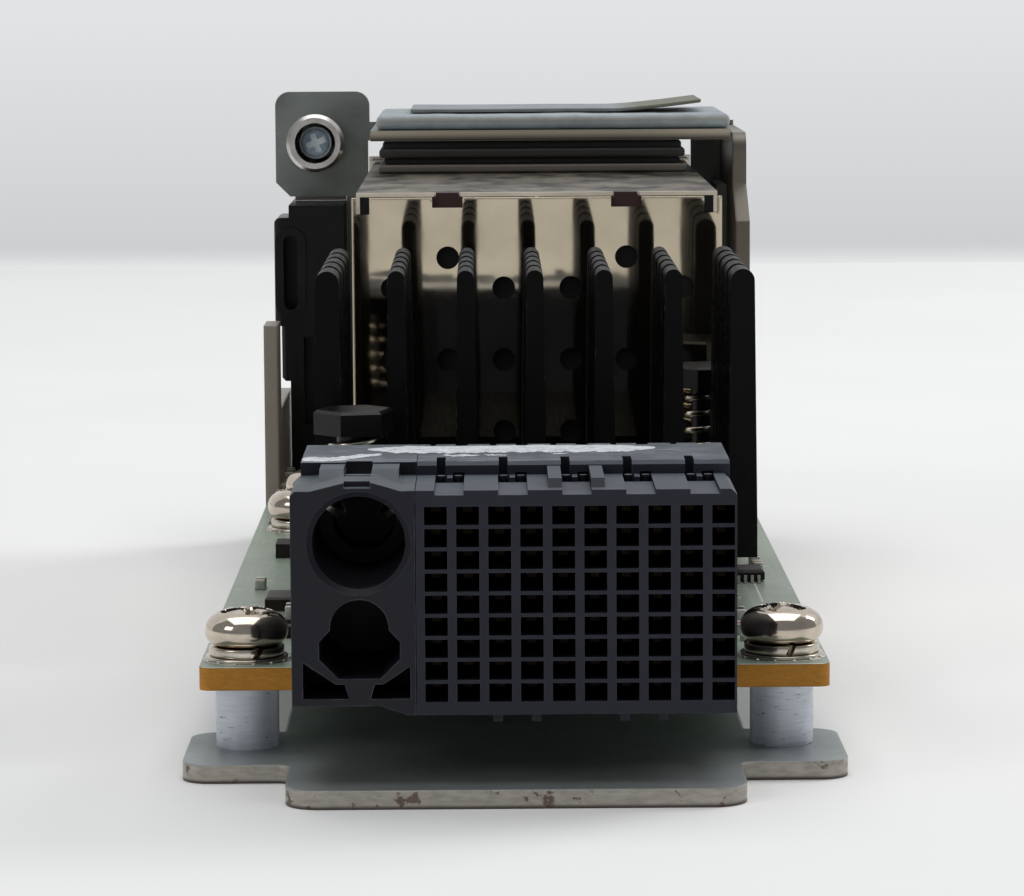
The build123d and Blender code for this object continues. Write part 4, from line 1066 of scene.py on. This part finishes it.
@dataclass
class TornFilm:
    """What is left of a white protective film on the connector's roof.

    Attributes:
        roof: The roof's height.
        thick: How thick the film is where it lies flat.
        rag_x: Places along the ragged strip on the guide block.
        rag_near: Its near edge at those places.
        rag_far: Its far edge at those places.
        flecks: Each loose fleck's span along X and along Y.
    """

    roof: float = 20.75
    thick: float = 0.015
    rag_x: Tuple[float, ...] = (-13.65, -12.9, -12.2, -11.2, -10.0, -8.6)
    rag_near: Tuple[float, ...] = (8.7, 8.35, 8.4, 8.7, 10.2, 11.6)
    rag_far: Tuple[float, ...] = (10.4, 11.2, 10.4, 11.0, 12.2, 12.4)
    flecks: Tuple[Tuple[float, float, float, float], ...] = (
        (-4.6, -2.2, 10.6, 11.6), (-1.9, -0.4, 10.9, 11.4), (2.4, 3.6, 11.6, 12.1))

    def build(self) -> List[bpy.types.Object]:
        """Lay the long strip on the wafers' roof, the ragged one on the guide block and the flecks."""
        shell = Shell()
        x = np.linspace(-9.6, 9.4, 260)
        end = np.clip(np.minimum(x + 9.6, 9.4 - x) / 2.4, 0.0, 1.0) ** 0.6
        middle = 14.8 + 0.25 * ripple(x, 3, 14.0)
        near = middle - end * (2.2 + 0.5 * ripple(x, 5, 1.7))
        shell.rings(self.strip(x, near, middle + end * (1.9 + 0.12 * ripple(x, 8, 2.0)), 11))
        x = np.linspace(self.rag_x[0], self.rag_x[-1], 120)
        near = np.interp(x, self.rag_x, self.rag_near) + 0.15 * ripple(x, 21, 0.9)
        shell.rings(self.strip(x, near, np.interp(x, self.rag_x, self.rag_far) + 0.4 * ripple(x, 24, 1.1), 29))
        taper = np.sin(np.linspace(0.05, math.pi - 0.05, 40))
        for number, (x0, x1, y0, y1) in enumerate(self.flecks):
            x = np.linspace(x0, x1, 40)
            middle = (y0 + y1) / 2 + 0.2 * ripple(x, 31 + number, 1.2)
            reach = (y1 - y0) / 2 * taper * (1 + 0.4 * ripple(x, 41 + number, 0.5))
            shell.rings(self.strip(x, middle - reach, middle + reach, 51 + number))
        return [shell.piece("torn_film", Look.FILM, "slate_plastic", sharp=60.0)]

    def strip(self, x: np.ndarray, near: np.ndarray, far: np.ndarray, seed: int) -> np.ndarray:
        """Give the rings of one torn strip along X.

        Across the strip the height is the roof's, raised by two crossed ripples that are always
        taken positive. The raise is nought at both edges and grows as the square root of a half
        sine wave between them. The underside lies just over the roof.

        Args:
            x: The rings' places along the strip.
            near: The near edge's place at each ring.
            far: The far edge's place at each ring.
            seed: The seed of its crumples.

        Returns:
            Rings of points.
        """
        share = np.linspace(0, 1, 12)
        y = near[:, None] + np.maximum(far - near, 0.06)[:, None] * share
        wide = np.broadcast_to(x[:, None], y.shape)
        crumple = np.abs(ripple(wide + 0.7 * y, seed, 2.6)) + np.abs(ripple(wide - 1.1 * y, seed + 1, 1.9))
        top = self.roof + 0.012 + (self.thick + 0.06 * crumple) * np.sqrt(np.sin(math.pi * share))
        upper = np.stack([wide, y, top], -1)
        lower = np.stack([wide, y, np.full_like(y, self.roof + 0.005)], -1)
        return np.concatenate([upper, lower[:, ::-1]], 1)


@dataclass
class GroundFingers:
    """Two bowed contact fingers along the wall of the guide block's round socket."""

    axis_x: float = -9.78
    axis_z: float = 16.6
    wall: float = 2.93
    bow: float = 1.25
    near: float = 3.2
    length: float = 7.6
    turns: Tuple[float, ...] = (137.0, 38.0)

    def build(self) -> List[bpy.types.Object]:
        """Bow each finger inwards by half a sine wave, drawn towards its near seat on the wall."""
        shell = Shell()
        along = np.linspace(0.0, 1.0, 40)[:, None, None]
        outline = rounded_outline(0.3, 0.06, 0.05, 3)[None]
        inward = self.wall - 0.07 - self.bow * np.sin(math.pi * along**0.6) ** 1.3
        taper = 0.55 + 0.45 * np.sin(math.pi * along) ** 0.5
        for turn in self.turns:
            way = np.array([math.cos(math.radians(turn)), math.sin(math.radians(turn))])
            side = np.array([-way[1], way[0]])
            flat = inward * way + taper * outline[..., :1] * side + outline[..., 1:] * way
            y = np.broadcast_to(self.near + self.length * along[..., 0], flat.shape[:2])
            shell.rings(np.stack([flat[..., 0] + self.axis_x, y, flat[..., 1] + self.axis_z], -1))
        return [shell.piece("ground_fingers", Look.BRONZE, "contact_metal", sharp=50.0)]


@dataclass(frozen=True)
class Seal:
    """One padded seal: a stack of soft bars, whose tops are pressed in here and there.

    Attributes:
        name: The piece's name.
        node: The CAD node that it stands for.
        look: Its finish.
        fill: How much of its own volume the padding fills; not used.
        bars: Each bar's lowest and highest corner.
        bend: The radius of the bars' edges.
        runs: Divisions along a bar and along the runs of its outline.
        sink: The most that a bar's top may sink.
        seed: The first bar's seed.
        arc: Points on each rounding.
        peel: Where along X it starts to lift, how long the lifted end is and how far it lifts.
    """

    name: str
    node: str
    look: Look
    fill: float
    bars: Tuple[Tuple[Place, Place], ...]
    bend: float
    runs: Tuple[int, int]
    sink: float
    seed: int
    arc: int = 5
    peel: Optional[Place] = None

    def pressed(self, rings: np.ndarray, seed: int) -> np.ndarray:
        """Lower a bar's top a little here and there, by a ripple along it and one across it.

        Each point sinks by the share of its height above the bar's bottom, times the sink, times
        the mean of two ripples brought between nought and one. A peeled end then lifts by how far
        a ring is along it, raised to 1.4.

        Args:
            rings: The bar's rings.
            seed: The seed of the ripples.

        Returns:
            The changed rings.
        """
        x, y, z = rings[..., 0], rings[..., 1], rings[..., 2]
        share = (z - z.min()) / (z.max() - z.min())
        dip = 0.5 + 0.25 * ripple(x, seed, 11.0) + 0.25 * ripple(y + 0.3 * x, seed + 1, 7.0)
        z = z - share * self.sink * dip
        if self.peel is not None:
            start, length, lift = self.peel
            z = z + lift * np.clip((x - start) / length, 0.0, 1.0) ** 1.4
        return np.stack([x, y, z], -1)

    def piece(self) -> bpy.types.Object:
        shell = Shell()
        for number, (low, high) in enumerate(self.bars):
            shell.rings(self.pressed(soft_bar(low, high, self.bend, self.runs, self.arc), self.seed + number))
        obj = shell.piece(self.name, self.look, "soft_grey", [self.node])
        return obj


@dataclass
class SoftSeals:
    """The foam and cloth seals round the faceplate, and the pad under the heat sink.

    Attributes:
        layers: The low side, high side and inset of each layer of the cage's seal.
    """

    layers: Tuple[Place, ...] = (
        (34.85, 35.55, 0.0), (35.55, 36.15, 0.45), (36.15, 36.9, 0.05), (36.9, 37.55, 0.35))

    def build(self) -> List[bpy.types.Object]:
        """Make the four padded seals and the lining beside the lever."""
        stack = tuple(((-11.0 + i, 100.0 + i, low), (15.6 - i, 117.0 - i, high))
                      for low, high, i in self.layers)
        seals = (
            Seal("crowned_top_seal", "top_gasket", Look.PAD, 0.95,
                 (((-11.2, 100.5, 38.55), (19.5, 120.6, 39.85)),), 0.5, (60, 24), 0.14, 61),
            Seal("lifted_strip", "gasket_strip", Look.STRIP, 0.9,
                 (((-8.3, 104.8, 39.9), (17.2, 116.8, 40.25)),), 0.12, (70, 10), 0.06, 67, 4, (9.4, 7.8, 0.75)),
            Seal("layered_cage_seal", "cage_gasket", Look.FOAM, 0.8, stack, 0.22, (50, 12), 0.05, 71),
            Seal("sink_pad", "thermal_pad", Look.PASTE, 0.9,
                 (((-6.3, 36.0, 10.1), (9.7, 52.0, 10.9)),), 0.3, (16, 16), 0.02, 83),
        )
        return [seal.piece() for seal in seals] + [self.lever_seal()]

    def lever_seal(self) -> bpy.types.Object:
        """Line the plate's edges beside and above the lever with thin foam."""
        shell = Shell()
        beside = soft_bar((1.7, 121.65, -14.55), (31.70, 122.45, -14.3), 0.05, arc=3)
        shell.rings(beside[..., ::-1])
        shell.rings(soft_bar((-19.3, 121.65, 31.37), (-14.6, 122.45, 31.70), 0.05, arc=3))
        return shell.piece("lever_seal", Look.FOAM, "soft_grey")


class ChipPart(Enum):
    """The small parts on the board: half length, half width, height and the finish of the body."""

    CAPACITOR = (0.8, 0.4, 0.75, Look.CERAMIC)
    RESISTOR = (0.5, 0.25, 0.35, Look.CHIP)
    FERRITE = (1.0, 0.6, 0.85, Look.CHIP)


@dataclass
class SmallParts:
    """Chip capacitors, resistors and ferrites on the free parts of the board.

    Attributes:
        areas: Each area's span along X and along Y, and the share of its places that is filled.
        step: The least distance between places along X and along Y.
    """

    board_top: float = 7.0
    areas: Tuple[Tuple[float, float, float, float, float], ...] = (
        (-19.2, -15.4, 19.5, 31.5, 0.6), (-16.0, -15.4, 39.8, 57.0, 0.3), (-18.5, -18.4, 44.6, 44.8, 1.0),
        (15.6, 15.7, 20.0, 43.0, 0.8), (15.4, 18.6, 51.6, 54.8, 0.5), (-7.0, 13.0, 19.2, 25.0, 0.8),
        (-19.6, -19.3, 80.0, 114.0, 0.7), (-8.0, 12.0, 57.6, 65.6, 0.7),
    )
    step: Tuple[float, float] = (2.3, 2.6)

    def places(self) -> List[Tuple[float, float, ChipPart, bool]]:
        """Give each part's place, kind and whether it is turned, on a loosely filled grid."""
        pick = np.random.default_rng(17)
        found: List[Tuple[float, float, ChipPart, bool]] = []
        for x0, x1, y0, y1, share in self.areas:
            across = np.linspace(x0, x1, max(1, int((x1 - x0) / self.step[0]) + 1))
            along = np.linspace(y0, y1, max(1, int((y1 - y0) / self.step[1]) + 1))
            for x in across:
                for y in along:
                    if pick.random() < share:
                        kind = list(ChipPart)[int(pick.integers(0, 3))]
                        found.append((float(x), float(y), kind, bool(pick.random() < 0.3 or x1 - x0 < 1)))
        return found

    def build(self) -> List[bpy.types.Object]:
        """Make the bodies, by finish, and the tinned caps at their ends."""
        shells = {look: Shell() for look in (Look.CERAMIC, Look.CHIP, Look.TIN)}
        for x, y, kind, turned in self.places():
            long, wide, high, look = kind.value
            low, top = self.board_top, self.board_top + high
            parts = ((look, -long * 0.62, long * 0.62, 0.02), (Look.TIN, -long, -long * 0.6, 0.0),
                     (Look.TIN, long * 0.6, long, 0.0))
            for finish, start, end, less in parts:
                rings = soft_bar((start, less - wide, low), (end, wide - less, top - less), 0.07, (1, 1), 3)
                shells[finish].rings((rings[..., [1, 0, 2]] if turned else rings) + np.array([x, y, 0.0]))
        names = (("chip_capacitors", "chip"), ("chip_resistors", "chip"), ("chip_end_caps", "board"))
        return [shell.piece(name, look, slot) for (look, shell), (name, slot) in zip(shells.items(), names)]


@dataclass(frozen=True)
class Coil:
    """One coil spring, whose own Z runs from its fixed end to the end that moves.

    Attributes:
        name: The piece's name.
        node: The CAD node that it stands for.
        joint: The joint that shortens it; not used.
        foot: The middle of its fixed end.
        travel: How far the joint shortens it; not used.
        radius: The coil's outer radius.
        wire: The wire's radius.
        length: The coil's length at rest.
        turns: How many turns it has.
        lying: Whether its own Z points along the card's Y instead of upwards.
    """

    name: str
    node: str
    joint: str
    foot: Place
    travel: float = 1.6
    radius: float = 1.85
    wire: float = 0.24
    length: float = 6.7
    turns: int = 5
    lying: bool = False

    def rings(self, per_turn: int = 36, sides: int = 12) -> np.ndarray:
        """Give the rings of the wire.

        The wire's middle runs at the angle a round the axis, at the coil's middle radius, and
        rises evenly with a. A ring is a circle of the wire's radius, across the wire's way.

        Args:
            per_turn: Rings on each turn.
            sides: Points on each ring.

        Returns:
            Rings of points.
        """
        whole = FULL_TURN * self.turns
        reach, rise = self.radius - self.wire, (self.length - 2 * self.wire) / whole
        a = np.linspace(0, whole, per_turn * self.turns + 1)
        out = about_z(1.0, a, 0.0)
        ahead = about_z(reach, a + math.pi / 2, rise) / math.hypot(reach, rise)
        b = angles(sides)[None, :, None]
        around = np.cos(b) * out[:, None] + np.sin(b) * np.cross(ahead, out)[:, None]
        rings = about_z(reach, a, self.wire + rise * a)[:, None] + self.wire * around
        if self.lying:
            rings = np.stack([rings[..., 0], rings[..., 2], -rings[..., 1]], -1)
        return rings + np.array(self.foot)

    def piece(self) -> bpy.types.Object:
        """Make the spring and give it a mesh of its own."""
        shell = Shell()
        shell.rings(self.rings())
        obj = shell.piece(self.name, Look.SPRING, "nickel", [self.node])
        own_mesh(obj)
        return obj


@dataclass
class CoilSprings:
    """The springs under the two push pins and the one behind the captive screw's washer."""

    coils: Tuple[Coil, ...] = (
        Coil("near_pin_coil", "pin_spring_near", "pin_near_press", (-10.95, 28.7, 13.55)),
        Coil("far_pin_coil", "pin_spring_far", "pin_far_press", (15.2, 59.05, 13.55)),
        Coil("captive_coil", "screw_spring", "captive_press", (-17.3, 126.75, 36.7),
             3.0, 2.3, 0.2, 5.2, 4, True),
    )

    def build(self) -> List[bpy.types.Object]:
        """Make each spring."""
        return [coil.piece() for coil in self.coils]


# The studio


@dataclass(frozen=True)
class Lamp:
    """One square soft lamp: its place, what it faces and its side, in millimetres, and its watts."""

    name: str
    at: Place
    aim: Place
    size: float
    watts: float

    def hang(self) -> None:
        """Hang the lamp and turn it to what it faces."""
        data = bpy.data.lights.new(self.name, "AREA")
        data.shape, data.size, data.energy = "SQUARE", self.size * MM, self.watts
        obj = add_object(self.name, data)
        obj.location = Vector(self.at) * MM
        obj.rotation_euler = (Vector(self.aim) - Vector(self.at)).to_track_quat("-Z", "Y").to_euler()


@dataclass
class Studio:
    """The pale floor, the graded backdrop, the lamps and the camera."""

    floor_tone: Tone = (243, 243, 242)
    floor_cloud: Tone = (240, 240, 239)
    floor_z: float = -0.02
    floor_half: float = 3000.0
    wall_foot: Tone = (237, 238, 238)
    wall_low: Tone = (204, 206, 208)
    wall_high: Tone = (226, 227, 228)
    wall_y: float = 474.0
    sky: Tuple[float, float, float, float] = (0.86, 0.88, 0.92, 1)
    sky_strength: float = 0.3
    lamps: Tuple[Lamp, ...] = (
        Lamp("overhead", (0, 120, 900), (0, 60, 0), 900, 5.6),
        Lamp("left_front", (-700, -500, 500), (0, 50, 10), 350, 1.2),
        Lamp("right_back", (700, 500, 600), (0, 50, 10), 400, 3.0),
    )
    camera_at: Place = (-1.51, -248.22, 51.75)
    yaw: float = 0.315
    pitch: float = 6.709
    roll: float = -0.35
    focal_px: float = 4012.0
    frame_width: int = 1024

    def build(self) -> None:
        """Make the whole studio."""
        self.floor()
        self.backdrop()
        self.light()
        self.camera()

    def quad(self, name: str, corners: Sequence[Place], shader: Shader) -> None:
        """Make one flat four-sided sheet.

        Args:
            name: The object's name.
            corners: The four corners in millimetres.
            shader: Its material.
        """
        mesh = bpy.data.meshes.new(name)
        mesh.from_pydata([tuple(c * MM for c in corner) for corner in corners], [], [(0, 1, 2, 3)])
        mesh.materials.append(shader.material)
        add_object(name, mesh)

    def floor(self) -> None:
        """Lay the pale floor just under the card."""
        h, z = self.floor_half, self.floor_z
        s = Shader("studio_floor", self.floor_tone)
        s.tint(s.span(s.noise(60.0, 2.0), 0.3, 0.7), self.floor_cloud)
        s.set(Roughness=0.8)
        self.quad("studio_floor", [(-h, -h, z), (h, -h, z), (h, h, z), (-h, h, z)], s)

    def backdrop(self) -> None:
        """Stand a graded grey wall behind the card, seen only from its front side."""
        y, h = self.wall_y, self.floor_half / 2
        s = Shader("studio_wall")
        height = s.axis("Z")
        foot_span = {"Value": height, "From Min": -2.0, "From Max": 4.0, "To Min": 1.0, "To Max": 0.0}
        foot = s.put("ShaderNodeMapRange", foot_span, interpolation_type="SMOOTHSTEP").outputs["Result"]
        glow = s.blend(foot, s.blend(s.span(height, 2.0, 45.0), self.wall_low, self.wall_high), self.wall_foot)
        light = s.put("ShaderNodeEmission", {"Color": glow, "Strength": 1.0})
        clear = s.put("ShaderNodeBsdfTransparent", {})
        path = s.put("ShaderNodeLightPath", {})
        seen = s.math("MAXIMUM", path.outputs["Is Camera Ray"], path.outputs["Is Glossy Ray"])
        mask = s.times(seen, s.math("SUBTRACT", 1.0, s.geometry("Backfacing")))
        mixed = s.put("ShaderNodeMixShader", {0: mask, 1: clear.outputs[0], 2: light.outputs[0]})
        s.tree.links.new(mixed.outputs[0], s.tree.nodes["Material Output"].inputs["Surface"])
        self.quad("studio_wall", [(-h, y, 0), (h, y, 0), (h, y, h), (-h, y, h)], s)

    def light(self) -> None:
        """Light the card softly from above and a little from the front."""
        world = bpy.data.worlds.new("studio_world")
        bpy.context.scene.world = world
        world.use_nodes = True
        background = world.node_tree.nodes["Background"].inputs
        background["Color"].default_value = self.sky
        background["Strength"].default_value = self.sky_strength
        for lamp in self.lamps:
            lamp.hang()

    def camera(self) -> None:
        """Set the camera where the photograph was taken from."""
        yaw, pitch, roll = (math.radians(a) for a in (self.yaw, self.pitch, self.roll))
        ahead = Vector((math.sin(yaw) * math.cos(pitch), math.cos(yaw) * math.cos(pitch), -math.sin(pitch)))
        flat = Vector((math.cos(yaw), -math.sin(yaw), 0.0))
        lift = flat.cross(ahead)
        right = flat * math.cos(roll) + lift * math.sin(roll)
        up = lift * math.cos(roll) - flat * math.sin(roll)
        data = bpy.data.cameras.new("camera")
        data.sensor_width = 36.0
        data.lens = self.focal_px / self.frame_width * data.sensor_width
        data.clip_start, data.clip_end = 0.01, 20.0
        obj = add_object("camera", data)
        turn = Matrix((right, up, -ahead)).transposed().to_4x4()
        obj.matrix_world = Matrix.Translation(Vector(self.camera_at) * MM) @ turn
        bpy.context.scene.camera = obj


def dress_carried() -> None:
    """Give every carried CAD node its finish."""
    for look in Look:
        for node in look.nodes:
            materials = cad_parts[node].data.materials
            materials.clear()
            materials.append(look.finish.material())
            LOG.info("dressed %s in %s", node, look.finish.name)


def main() -> None:
    """Build the studio, then dress and add every piece."""
    logging.basicConfig(level=logging.INFO, format="%(message)s")
    bpy.context.scene.view_settings.view_transform = "Standard"
    Studio().build()
    dress_carried()
    for maker in (BoardFastening(), TornFilm(), GroundFingers(), SoftSeals(), CoilSprings(), SmallParts()):
        for piece in maker.build():
            LOG.info("%s made %s", type(maker).__name__, piece.name)


if __name__ == "__main__":
    main()
